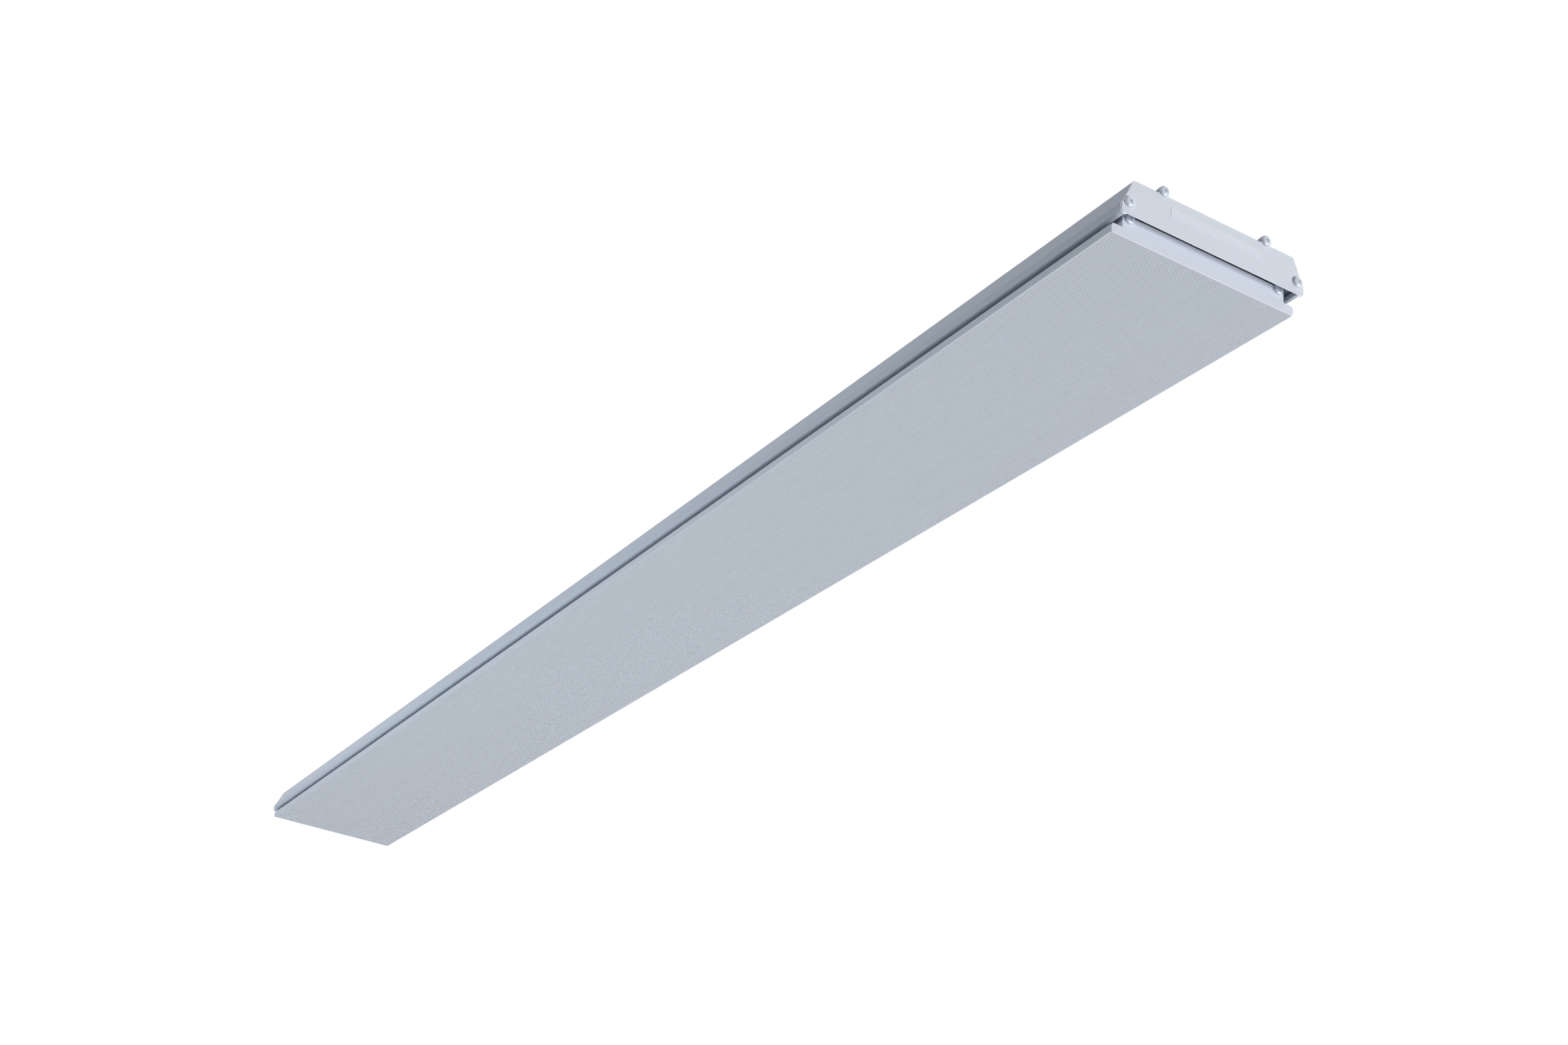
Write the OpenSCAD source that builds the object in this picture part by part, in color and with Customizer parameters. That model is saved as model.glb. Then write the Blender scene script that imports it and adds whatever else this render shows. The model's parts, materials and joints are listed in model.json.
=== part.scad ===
// Infrared strip heater for a ceiling.
// A ribbed aluminium panel, heated from behind by a hairpin element, hangs in a
// shallow aluminium housing. A wiring space takes up the housing's +X end, and two
// brackets slide along the rails on its back.
// X runs along the heater, Y across it and Z up. The origin is the middle of the
// radiant face, in the plane of the rib crests. Sizes are millimetres.

/* [Housing] */
// Length of the housing extrusion
housing_length = 1796.4; // [1300:0.2:2400]
// Width across the housing's straight sides
housing_width = 165; // [155:1:190]
// Wall of the housing extrusion
housing_wall = 1.6; // [1.4:0.1:2]
// Height of the housing's lower edge above the radiant face
housing_base = 10.4; // [9:0.1:11.5]
// Height where the straight side turns into the sloping side
shoulder_height = 19.1; // [17.5:0.1:19.5]
// Size of the small bevel at that turn
shoulder_step = 1.4; // [1:0.1:2]
// Height of the housing's top above the radiant face
housing_top = 40; // [39:0.5:50]
// Width across the housing's top
top_width = 146.6; // [140:0.2:152]
// Width of the lip turned in along the lower edge
lip_width = 4.6; // [4:0.1:7]
// Height of the lip's edge, which turns up inside the housing
lip_return = 5; // [3:0.1:5.5]
// Outer radius of the lower corners
lower_radius = 3; // [1:0.1:4]
// Outer radius of the upper corners
upper_radius = 2.5; // [1:0.1:5]
// Thickness of the inner shelf that carries the panel
shelf_thickness = 1.6; // [1.2:0.1:2.5]
// Reach of the inner shelf past its screw port
shelf_reach = 8.5; // [6:0.1:10]

/* [Rails] */
// Distance between the two rails on the housing's back
rail_spacing = 93.4; // [84:0.2:104]
// Radius of a rail's rounded top
rail_radius = 4.1; // [3.8:0.1:5]
// Height of a rail's screw port above the housing's top
rail_rise = 2.4; // [2.2:0.1:3]
// Depth of the groove in a rail's inner side
groove_depth = 1.5; // [1.2:0.1:1.8]

/* [End plates] */
// Thickness of an end plate
end_plate_thickness = 2.3; // [1.5:0.1:4]
// Thickness left at an end plate's lower edge, between the lips
lower_edge_thickness = 0.6; // [0.4:0.1:1.2]
// Width of the blank label
label_width = 82; // [40:1:100]
// Height of the blank label
label_height = 7.4; // [5:0.1:9]

/* [Radiant panel] */
// Overall width of the panel
panel_width = 165; // [160:1:190]
// Distance from the panel's end back to the housing's end
panel_recess = 9.8; // [6:0.1:14]
// Thickness of the panel's plate, crests to back
plate_thickness = 3; // [2.6:0.1:3.6]
// Height of the panel's side lips
side_lip_height = 7; // [5:0.1:8]
// Wall of the side lips and upstands
panel_wall = 1.6; // [1.3:0.1:2]
// Distance from one rib to the next
rib_pitch = 2.13; // [1.6:0.01:4]
// Depth of the grooves between the ribs
rib_depth = 0.5; // [0.3:0.05:0.8]
// Width of a rib's flat crest
crest_width = 0.5; // [0.3:0.05:0.8]
// Height of the two upstands that hang the panel
upstand_height = 19; // [18:0.1:20]
// Thickness of a panel cap
cap_thickness = 1.6; // [1:0.1:3]
// Distance from the top of the upstands down to a cap's top
cap_drop = 1; // [0:0.1:1.5]

/* [Heating element] */
// Diameter of the element's sheath
element_diameter = 8; // [6.5:0.1:8.5]
// Distance between the element's two legs
leg_spacing = 60; // [50:1:66]
// Radius of the bends that lift the element's ends
rise_radius = 11; // [9:0.5:11]
// Number of clamps that hold the element down
clamp_count = 5; // [3:1:5]
// Width of an element clamp along the heater
clamp_width = 14; // [10:1:20]
// Thickness of an element clamp
clamp_thickness = 0.8; // [0.5:0.1:1.2]

/* [Hangers and shield] */
// Number of hangers that carry the panel
hanger_count = 5; // [3:1:5]
// Width of a hanger along the heater
hanger_width = 24; // [16:1:40]
// Thickness of a hanger
hanger_thickness = 1.5; // [1:0.1:2]
// Thickness of the heat shield
shield_thickness = 0.8; // [0.5:0.1:1.2]
// Width across the heat shield
shield_width = 101.6; // [92:0.2:112]

/* [Wiring space] */
// Length of the wiring space
wiring_length = 136; // [122:1:160]
// Thickness of the wiring tray
tray_thickness = 1; // [0.8:0.1:1.5]
// Size of the terminal block along the heater
block_length = 24; // [20:0.5:28]
// Size of the terminal block across the heater
block_width = 54; // [50:1:64]
// Distance between the terminal block's poles
pole_pitch = 16; // [12:0.5:17]
// Diameter of the overheat cut-out
cutout_diameter = 16; // [12:0.5:17]
// Diameter of an inner wire
wire_diameter = 2.8; // [2:0.1:3.2]

/* [Cable gland] */
// Diameter of the gland's thread
gland_thread = 20; // [16:1:22]
// Size of the gland across its flats
gland_flats = 24; // [23:1:27]
// Bore of the gland's mouth
gland_bore = 10.4; // [8:0.2:11]

/* [Brackets] */
// Distance from the middle of the heater to each bracket
bracket_place = 600; // [450:10:700]
// Length of a bracket along the rails
bracket_length = 50; // [30:1:80]
// Thickness of the bracket's steel
bracket_thickness = 1.5; // [1.2:0.1:2]
// Width across the bracket's legs
bracket_width = 60; // [52:1:66]
// Height of the bracket's top above the housing's top
bracket_rise = 35; // [24:1:60]
// Distance between the two ceiling slots
slot_spacing = 36; // [32:1:40]
// Width of a ceiling slot
slot_width = 6.5; // [5:0.1:8]
// Length of a ceiling slot, end to end
slot_length = 14; // [10:0.5:16]

/* [Fasteners] */
// Shank diameter of the end plate and cap screws
screw_shank = 4; // [3.5:0.1:4.4]
// Head diameter of the end plate and cap screws
screw_head = 8.4; // [7:0.1:9]
// Head height of the end plate and cap screws
screw_rise = 2.6; // [2:0.1:3.2]
// Shank length of the end plate and cap screws
screw_length = 13; // [9:0.5:20]

/* [Hidden] */
// Gap between flat faces that bear on each other
seat_gap = 0.05;
// Gap round a shank, tube or pin in its hole
hole_gap = 0.1;
// Gap beside a piece that slides in or lies free
side_gap = 0.3;

// Housing outline, seen from the +X end and listed anticlockwise
half_housing = housing_length / 2;
housing_outline = [
    [-housing_width / 2, housing_base], [housing_width / 2, housing_base],
    [housing_width / 2, shoulder_height],
    [housing_width / 2 - shoulder_step, shoulder_height + shoulder_step],
    [top_width / 2, housing_top], [-top_width / 2, housing_top],
    [shoulder_step - housing_width / 2, shoulder_height + shoulder_step],
    [-housing_width / 2, shoulder_height]
];
shoulder_radius = 1;
housing_radii = [
    lower_radius, lower_radius, shoulder_radius, shoulder_radius,
    upper_radius, upper_radius, shoulder_radius, shoulder_radius
];
inner_corner = 0.6;
return_wall = 1.4;
inner_radii = [for (r = housing_radii) max(r - housing_wall, inner_corner)];
roof = housing_top - housing_wall;

// Screw ports that run along both extrusions
port_bore = screw_shank / 2 + hole_gap;
port_slot = 1.6;
port_web = 2;
rail_y = rail_spacing / 2;
rail_z = housing_top + rail_rise;
housing_port_radius = 3;
port_inset = 5.9;
port_y = housing_width / 2 - port_inset;
port_z = shoulder_height + 0.9;
panel_port_radius = 3.4;
panel_port_inset = 5.5;
panel_port_drop = 3.5;
ear_margin = 0.2;
edge_relief = 3;

// Radiant panel
half_panel = half_housing - panel_recess;
upstand_y = port_y - housing_port_radius - hole_gap;
panel_port_y = upstand_y - panel_port_inset;
panel_port_z = upstand_height - panel_port_drop;
panel_corner = 0.4;
cap_lower_corner = 1.8;
cap_side_corner = 2;
cap_upper_corner = 1.5;
cap_inner_corner = 0.5;
rib_margin = 1.2;
groove_pairs = floor((panel_width / 2 - rib_margin) / rib_pitch);
groove_mouth = rib_pitch - crest_width;
groove_floor = 0.5;
root_overlap = 0.5;

// Heating element, its channels and its clamps
element_radius = element_diameter / 2;
element_seat = 0.3;
element_z = plate_thickness + element_seat + element_radius;
leg_y = leg_spacing / 2;
channel_wall = 2.4;
channel_grip = 1.3;
centre_rail_width = 9;
centre_slot_width = 3.4;
centre_slot_floor = 1.5;
clamp_z = element_z + element_radius + seat_gap;
clamp_overhang = 8;
clamp_screw_shank = 3.2;
clamp_screw_head = 7;
clamp_screw_rise = 2;
clamp_screw_length = 6;

// Inner shelf, wiring tray and the heights that they set
shelf_gap = 1;
shelf_z = upstand_height + shelf_gap;
shelf_top = shelf_z + shelf_thickness;
shelf_inner = port_y - housing_port_radius - shelf_reach;
wing_y = port_y - housing_port_radius - hole_gap;
hanger_z = shelf_top + seat_gap;
tray_z = shelf_top + seat_gap;
tray_top = tray_z + tray_thickness;
pin_z = (tray_top + roof) / 2;

// Insulation and heat shield
shield_top = hanger_z - hole_gap;
shield_z = shield_top - shield_thickness;
shield_skirt = 6;
mat_z = clamp_z + clamp_thickness + hole_gap;
mat_top = shield_z - hole_gap;
mat_width = shield_width - 2 * shield_thickness - 2 * side_gap;
mat_end_gap = 4;
mat_relief_width = clamp_screw_head + 4;
mat_relief_height = clamp_screw_rise + 0.6;

// Hangers, whose legs stand between the shield and the panel's flanges
leg_gap = 2.7;
hanger_leg_y = shield_width / 2 + leg_gap + hanger_thickness;
flange_y = hanger_leg_y + side_gap;
foot_gap = 0.6;
hanger_foot_y = panel_port_y - panel_port_radius - foot_gap;
hanger_foot_top = upstand_height - panel_wall - seat_gap;
standoff_flats = 10;
centre_screw_shank = 5;
centre_screw_length = 10;

// Places along the heater
bulkhead_x = half_housing - wiring_length;
tray_end_gap = 1;
element_reach = 12;
element_end = bulkhead_x + element_reach;
rise_end = bulkhead_x - element_reach;
rise_start = rise_end - 2 * rise_radius;
hairpin_gap = 2;
hairpin_x = leg_y + element_radius + hairpin_gap - half_panel;
channel_margin = 3;
heated_middle = (rise_start + hairpin_x) / 2;
clamp_end_gap = 60;
clamp_span = rise_start - hairpin_x - 2 * clamp_end_gap;
hanger_end_gap = 115;
hanger_span = 2 * (bulkhead_x - hanger_end_gap);
clamp_places = [for (i = [0 : clamp_count - 1]) heated_middle + clamp_span * (i / (clamp_count - 1) - 0.5)];
hanger_places = [for (i = [0 : hanger_count - 1]) hanger_span * (i / (hanger_count - 1) - 0.5)];

// Cold ends of the element
ferrule_neck = element_radius + 1;
ferrule_flange = element_radius + 2.6;
ferrule_depth = 2;
seal_length = 6;
seal_radius = element_radius - 0.4;
pin_radius = 2;
pin_length = 18;
nut_flats = 7;
nut_height = 3;
lug_thickness = 0.8;
lug_radius = 4.2;
lug_offset = 6.5;
barrel_radius = wire_diameter / 2 + 0.6;
barrel_length = 8;
lug_x = element_end + seal_length + nut_height + 3 * seat_gap;

// Cable gland and terminal block
gland_radius = gland_thread / 2;
gland_corner = gland_flats / 2 / cos(30);
gland_hex = 5;
gland_neck = 7;
gland_nut_height = 4;
dome_wall = 2;
dome_roof = 3;
seal_height = 8;
seal_ease = 0.3;
body_ease = 0.8;
block_offset = 58;
block_x = bulkhead_x + block_offset;
block_gap = 5.6;
gland_x = block_x + block_length + block_gap + 0.6 * gland_flats;
block_z = tray_top + seat_gap;
block_headroom = 1.5;
block_height = roof - block_z - block_headroom;
pole_rise = 5.5;
pole_z = block_z + pole_rise;
pole_places = [-pole_pitch, 0, pole_pitch];
insert_radius = 3.2;
insert_bore = wire_diameter / 2 + 0.6;
insert_margin = 2;
clamp_pitch = block_length / 4;
wire_screw_shank = 1.6;
wire_screw_head = 2.6;
block_screw_y = block_width / 2 - 3.5;
block_screw_shank = 2.9;
block_screw_head = 5.4;
block_recess = 4;
wire_entry = clamp_pitch + insert_radius;

// Overheat cut-out
cutout_offset = 22;
cutout_x = bulkhead_x + cutout_offset;
cutout_radius = cutout_diameter / 2;
cutout_height = 9.5;
cutout_shoulder = 2.5;
cutout_step = 0.8;
cutout_flange = 0.8;
cutout_ear = 3.5;
cutout_screw_y = cutout_radius + 4;
cutout_screw_shank = 2.5;
cutout_screw_head = 5;
cutout_z = tray_top + seat_gap;
blade_width = 4.8;
blade_thickness = 0.8;
blade_y = 4;
blade_drop = 1.5;
blade_z = cutout_z + cutout_height - blade_drop;
blade_root = 3;
blade_reach = 5;
receptacle_size = [9, 6, 2.6];

// Earth stud
earth_offset = 30;
earth_inset = 22.4;
earth_place = [bulkhead_x + earth_offset, earth_inset - wing_y];
earth_radius = 2;
earth_height = 11;

// Fixings that pass through the housing's top
tray_flange = 14;
tray_screw_y = 20;
tray_screw_shank = 4;
tray_screw_length = 7;
bulkhead_inset = 10.4;
bulkhead_half = wing_y - bulkhead_inset;

// Brackets
foot_z = housing_top + hole_gap;
groove_height = bracket_thickness + 0.25;
foot_y = rail_y - rail_radius + groove_depth - 0.2;
bracket_top = housing_top + bracket_rise;
lock_y = (bracket_width / 2 + rail_y - rail_radius) / 2;
lock_shank = 5;
lock_flats = 8;
lock_nut_height = 4;
lock_length = 14;

label_thickness = 0.2;
label_corner = 1;
label_y = 1;
label_z = 28.9;

$fn = 48;

// Points of an outline whose corners are rounded

function unit(v) = v / norm(v);

function half_angle(a, b) = acos(a * b) / 2;

function arc_turn(t) = t > 180 ? t - 360 : t < -180 ? t + 360 : t;

function arc_points(centre, r, from, turn, steps) =
    [for (i = [0 : steps]) centre + r * [cos(from + turn * i / steps), sin(from + turn * i / steps)]];

function corner(before, p, after, r, steps) =
    let (
        a = unit(before - p),
        b = unit(after - p),
        half = half_angle(a, b),
        centre = p + unit(a + b) * r / sin(half),
        first = p + a * r / tan(half) - centre,
        last = p + b * r / tan(half) - centre,
        from = atan2(first[1], first[0])
    )
    arc_points(centre, r, from, arc_turn(atan2(last[1], last[0]) - from), steps);

function rounded(points, radii, steps = 5) =
    let (n = len(points))
    [for (i = [0 : n - 1]) each
        radii[i] > 0 ? corner(points[(i + n - 1) % n], points[i], points[(i + 1) % n], radii[i], steps)
                     : [points[i]]];

// An anticlockwise outline drawn in by one wall
function inward(a, b) = let (d = unit(b - a)) [-d[1], d[0]];

function inset(points, wall) =
    let (n = len(points))
    [for (i = [0 : n - 1])
        let (
            a = inward(points[(i + n - 1) % n], points[i]),
            b = inward(points[i], points[(i + 1) % n])
        )
        points[i] + (a + b) * wall / (1 + a * b)];

// A smooth route that starts and ends at the outer points and turns near the others
function turn(a, b, c, t) = (1 - t) * (1 - t) * a + 2 * t * (1 - t) * b + t * t * c;

function route(points, steps = 4) =
    let (n = len(points))
    [points[0],
     for (i = [1 : n - 2], j = [0 : (i == n - 2 ? steps : steps - 1)])
        turn((points[i - 1] + points[i]) / 2, points[i], (points[i] + points[i + 1]) / 2, j / steps),
     points[n - 1]];

// Placing and mirroring

module along_x(from, to) {
    translate([from, 0, 0]) rotate([90, 0, 90]) linear_extrude(to - from) children();
}

module both_halves() {
    children();
    mirror([1, 0]) children();
}

module both_sides() {
    children();
    mirror([0, 1, 0]) children();
}

module block(low, high) {
    translate(low) cube(high - low);
}

module slot_cut(length, width, depth) {
    straight = length - width;
    for (end = [-1, 1])
        translate([0, end * straight / 2, 0]) cylinder(d = width, h = depth);
    translate([-width / 2, -straight / 2, 0]) cube([width, straight, depth]);
}

// Fasteners, with the head's seat at the origin and the head up

module pan_screw(shank, length, head, rise) {
    recess_depth = rise * 0.6;
    recess_width = shank * 0.22;
    recess_span = head * 0.54;
    edge = rise * 0.35;
    crown = head * 0.24;
    difference() {
        union() {
            translate([0, 0, -length]) cylinder(d = shank, h = length);
            rotate_extrude()
                polygon(concat([[0, 0], [head / 2, 0]],
                    [for (a = [0 : 15 : 90])
                        [head / 2 - crown + crown * cos(a), edge + (rise - edge) * sin(a)]],
                    [[0, rise]]));
        }
        for (turn = [0, 90])
            rotate([0, 0, turn])
                translate([-recess_span / 2, -recess_width / 2, rise - recess_depth])
                    cube([recess_span, recess_width, rise]);
    }
}

module hex_nut(flats, height, bore) {
    difference() {
        cylinder(d = flats / cos(30), h = height, $fn = 6);
        translate([0, 0, -1]) cylinder(r = bore, h = height + 2);
    }
}

module ring(outer, bore, height) {
    difference() {
        cylinder(r = outer, h = height);
        translate([0, 0, -1]) cylinder(r = bore, h = height + 2);
    }
}

// A round tube along a route whose tangent never stands upright
module wire(points, radius, sides = 8) {
    path = route(points);
    n = len(path);
    rings = [for (i = [0 : n - 1])
        let (
            t = unit(path[min(i + 1, n - 1)] - path[max(i - 1, 0)]),
            s = unit(cross([0, 0, 1], t)),
            u = cross(t, s)
        )
        for (k = [0 : sides - 1]) path[i] + radius * (cos(360 * k / sides) * s + sin(360 * k / sides) * u)];
    walls = [for (i = [0 : n - 2], k = [0 : sides - 1])
        let (next = (k + 1) % sides)
        each [[i * sides + k, (i + 1) * sides + k, i * sides + next],
              [i * sides + next, (i + 1) * sides + k, (i + 1) * sides + next]]];
    start_cap = [[for (k = [0 : sides - 1]) k]];
    end_cap = [[for (k = [sides - 1 : -1 : 0]) (n - 1) * sides + k]];
    polyhedron(rings, concat(start_cap, walls, end_cap));
}

// Housing

module rail_solid() {
    translate([rail_y - rail_radius, housing_top - housing_wall / 2])
        square([2 * rail_radius, rail_rise + housing_wall / 2]);
    translate([rail_y, rail_z]) circle(rail_radius);
}

module rail_cuts() {
    translate([rail_y, rail_z]) circle(port_bore);
    translate([rail_y - port_slot / 2, rail_z]) square([port_slot, 2 * rail_radius]);
    translate([rail_y - 2 * rail_radius, housing_top])
        square([rail_radius + groove_depth, groove_height]);
}

module shelf_solid() {
    translate([shelf_inner, shelf_z]) square([port_y - shelf_inner, shelf_thickness]);
    translate([port_y, port_z]) circle(housing_port_radius);
    translate([port_y, port_z - port_web])
        square([housing_width / 2 - housing_wall / 2 - port_y, port_web]);
}

module shelf_cuts() {
    translate([port_y, port_z]) circle(port_bore);
    translate([port_y - port_slot / 2, port_z - 2 * housing_port_radius])
        square([port_slot, 2 * housing_port_radius]);
}

module housing_section() {
    difference() {
        union() {
            difference() {
                polygon(rounded(housing_outline, housing_radii));
                difference() {
                    polygon(rounded(inset(housing_outline, housing_wall), inner_radii));
                    both_halves() translate([housing_width / 2 - lip_width, housing_base])
                        square([return_wall, lip_return]);
                }
                translate([lip_width - housing_width / 2, housing_base - 1])
                    square([housing_width - 2 * lip_width, housing_wall + 2]);
            }
            both_halves() rail_solid();
            both_halves() shelf_solid();
        }
        both_halves() rail_cuts();
        both_halves() shelf_cuts();
    }
}

module top_hole(x, y, radius) {
    translate([x, y, roof - 1]) cylinder(r = radius, h = housing_wall + 2);
}

module housing() {
    color([0.72, 0.75, 0.8]) difference() {
        along_x(-half_housing, half_housing) housing_section();
        top_hole(gland_x, 0, gland_radius + hole_gap);
        top_hole(0, 0, centre_screw_shank / 2 + hole_gap);
        both_sides() top_hole(bulkhead_x + tray_flange / 2, tray_screw_y, tray_screw_shank / 2 + hole_gap);
    }
}

// End plates

module end_plate_section() {
    difference() {
        union() {
            polygon(rounded(housing_outline, housing_radii));
            both_halves() {
                translate([rail_y - rail_radius - ear_margin, housing_top - 1])
                    square([2 * (rail_radius + ear_margin), rail_rise + 1]);
                translate([rail_y, rail_z]) circle(rail_radius + ear_margin);
            }
        }
        both_halves() {
            translate([rail_y, rail_z]) circle(port_bore);
            translate([port_y, port_z]) circle(port_bore);
        }
    }
}

module end_plate() {
    half_mouth = housing_width / 2 - lip_width;
    thin_edge = half_housing + end_plate_thickness - lower_edge_thickness;
    difference() {
        along_x(half_housing, half_housing + end_plate_thickness) end_plate_section();
        block([half_housing - 1, -half_mouth, housing_base - 1],
              [thin_edge, half_mouth, housing_base + edge_relief]);
    }
}

module end_plate_screws() {
    both_sides()
        for (place = [[rail_y, rail_z], [port_y, port_z]])
            translate([half_housing + end_plate_thickness, place[0], place[1]])
                rotate([0, 90, 0]) pan_screw(screw_shank, screw_length, screw_head, screw_rise);
}

module terminal_end_plate() {
    color([0.83, 0.85, 0.89]) end_plate();
}

module plain_end_plate() {
    color([0.83, 0.85, 0.89]) mirror([1, 0, 0]) end_plate();
}

module terminal_end_plate_screws() {
    color([0.85, 0.87, 0.9]) end_plate_screws();
}

module plain_end_plate_screws() {
    color([0.85, 0.87, 0.9]) mirror([1, 0, 0]) end_plate_screws();
}

module blank_label() {
    face = half_housing + end_plate_thickness;
    color([0.93, 0.93, 0.93])
        along_x(face, face + label_thickness)
            translate([label_y, label_z])
                polygon(rounded(
                    [for (c = [[-1, -1], [1, -1], [1, 1], [-1, 1]])
                        [c[0] * label_width / 2, c[1] * label_height / 2]],
                    [for (i = [0 : 3]) label_corner]));
}

// Radiant panel

module ribbed_plate() {
    half = panel_width / 2;
    grooves = [for (i = [0 : 2 * groove_pairs - 1]) (i - groove_pairs + 0.5) * rib_pitch];
    ribs = [for (y = grooves) each [
        [y - groove_mouth / 2, 0], [y - groove_floor / 2, rib_depth],
        [y + groove_floor / 2, rib_depth], [y + groove_mouth / 2, 0]]];
    first = ribs[0];
    last = ribs[len(ribs) - 1];
    polygon(concat(
        corner([-half, side_lip_height], [-half, 0], first, panel_corner, 5),
        ribs,
        corner(last, [half, 0], [half, side_lip_height], panel_corner, 5),
        [[half, side_lip_height], [half - panel_wall, side_lip_height],
         [half - panel_wall, plate_thickness], [panel_wall - half, plate_thickness],
         [panel_wall - half, side_lip_height], [-half, side_lip_height]]));
}

module upstand() {
    root = plate_thickness - root_overlap;
    translate([upstand_y - panel_wall, root]) square([panel_wall, upstand_height - root]);
    translate([flange_y, upstand_height - panel_wall]) square([upstand_y - flange_y, panel_wall]);
    translate([panel_port_y, panel_port_z]) circle(panel_port_radius);
    translate([panel_port_y, panel_port_z - port_web])
        square([upstand_y - panel_port_y - panel_wall / 2, 2 * port_web]);
}

module upstand_cuts() {
    translate([panel_port_y, panel_port_z]) circle(port_bore);
    translate([panel_port_y - port_slot / 2, panel_port_z - 2 * panel_port_radius])
        square([port_slot, 2 * panel_port_radius]);
}

module element_channels() {
    root = plate_thickness - root_overlap;
    outer = element_radius + channel_wall;
    difference() {
        union() {
            translate([leg_y - outer, root]) square([2 * outer, element_z + channel_grip - root]);
            translate([0, root]) square([centre_rail_width / 2, clamp_z - seat_gap - root]);
        }
        translate([leg_y, element_z]) circle(element_radius + hole_gap);
        translate([-1, plate_thickness + centre_slot_floor])
            square([1 + centre_slot_width / 2, clamp_z]);
    }
}

module radiant_panel() {
    clear = leg_y + element_radius + channel_wall + 1;
    color([0.72, 0.75, 0.79]) difference() {
        along_x(-half_panel, half_panel) difference() {
            union() {
                ribbed_plate();
                both_halves() upstand();
                both_halves() element_channels();
            }
            both_halves() upstand_cuts();
        }
        block([-half_panel - 1, -clear, plate_thickness],
              [hairpin_x + channel_margin, clear, upstand_height + 1]);
        block([rise_start - channel_margin, -clear, plate_thickness],
              [half_panel + 1, clear, upstand_height + 1]);
    }
}

module panel_cap() {
    half = panel_width / 2;
    top = upstand_height - cap_drop;
    along_x(half_panel, half_panel + cap_thickness) difference() {
        polygon(rounded(
            [[-half, 0], [half, 0], [half, side_lip_height], [upstand_y, side_lip_height],
             [upstand_y, top], [-upstand_y, top],
             [-upstand_y, side_lip_height], [-half, side_lip_height]],
            [cap_lower_corner, cap_lower_corner, cap_side_corner, cap_inner_corner,
             cap_upper_corner, cap_upper_corner, cap_inner_corner, cap_side_corner]));
        both_halves() translate([panel_port_y, panel_port_z]) circle(port_bore);
    }
}

module panel_cap_screws() {
    both_sides()
        translate([half_panel + cap_thickness, panel_port_y, panel_port_z])
            rotate([0, 90, 0]) pan_screw(screw_shank, screw_length, screw_head, screw_rise);
}

module terminal_panel_cap() {
    color([0.83, 0.85, 0.89]) panel_cap();
}

module plain_panel_cap() {
    color([0.83, 0.85, 0.89]) mirror([1, 0, 0]) panel_cap();
}

module terminal_panel_cap_screws() {
    color([0.85, 0.87, 0.9]) panel_cap_screws();
}

module plain_panel_cap_screws() {
    color([0.85, 0.87, 0.9]) mirror([1, 0, 0]) panel_cap_screws();
}

// Heating element

module rise_arc(start_angle) {
    rotate([90, 0, 0]) rotate([0, 0, start_angle])
        rotate_extrude(angle = 90) translate([rise_radius, 0]) circle(element_radius);
}

module element_leg() {
    translate([hairpin_x, leg_y, element_z]) rotate([0, 90, 0])
        cylinder(r = element_radius, h = rise_start - hairpin_x);
    translate([rise_start, leg_y, element_z + rise_radius]) rise_arc(-90);
    translate([rise_start + rise_radius, leg_y, element_z + rise_radius])
        cylinder(r = element_radius, h = pin_z - element_z - 2 * rise_radius);
    translate([rise_end, leg_y, pin_z - rise_radius]) rise_arc(90);
    translate([rise_end, leg_y, pin_z]) rotate([0, 90, 0])
        cylinder(r = element_radius, h = element_end - rise_end);
}

module heating_element() {
    color([0.42, 0.38, 0.35]) {
        both_sides() element_leg();
        translate([hairpin_x, 0, element_z]) rotate([0, 0, 90])
            rotate_extrude(angle = 180) translate([leg_y, 0]) circle(element_radius);
    }
}

module at_cold_end(x) {
    both_sides() translate([x, leg_y, pin_z]) rotate([0, 90, 0]) children();
}

module element_ferrules() {
    color([0.75, 0.62, 0.35]) {
        at_cold_end(bulkhead_x - seat_gap - ferrule_depth)
            ring(ferrule_flange, element_radius + seat_gap, ferrule_depth);
        at_cold_end(bulkhead_x - seat_gap - ferrule_depth / 2)
            ring(ferrule_neck, element_radius + seat_gap, ferrule_depth / 2 + tray_thickness + 3);
    }
}

module element_seals() {
    color([0.93, 0.91, 0.86])
        at_cold_end(element_end + seat_gap) ring(seal_radius, pin_radius + seat_gap, seal_length);
}

module element_pins() {
    color([0.7, 0.7, 0.68])
        at_cold_end(element_end + seat_gap) cylinder(r = pin_radius, h = pin_length);
}

module element_nuts() {
    color([0.78, 0.76, 0.7]) {
        at_cold_end(lug_x - seat_gap - nut_height) hex_nut(nut_flats, nut_height, pin_radius + seat_gap);
        at_cold_end(lug_x + lug_thickness + seat_gap) hex_nut(nut_flats, nut_height, pin_radius + seat_gap);
    }
}

module element_clamp(i) {
    reach = leg_y + clamp_overhang;
    color([0.7, 0.71, 0.72]) difference() {
        translate([clamp_places[i - 1] - clamp_width / 2, -reach, clamp_z])
            cube([clamp_width, 2 * reach, clamp_thickness]);
        translate([clamp_places[i - 1], 0, clamp_z - 1])
            cylinder(r = clamp_screw_shank / 2 + hole_gap, h = clamp_thickness + 2);
    }
}

module element_clamp_screws() {
    color([0.78, 0.78, 0.76])
        for (x = clamp_places)
            translate([x, 0, clamp_z + clamp_thickness])
                pan_screw(clamp_screw_shank, clamp_screw_length, clamp_screw_head, clamp_screw_rise);
}

// Insulation and heat shield

module element_way(low, high) {
    margin = element_radius + 2;
    both_sides()
        block([rise_start - margin, leg_y - margin, low], [bulkhead_x - 1, leg_y + margin, high]);
}

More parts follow.
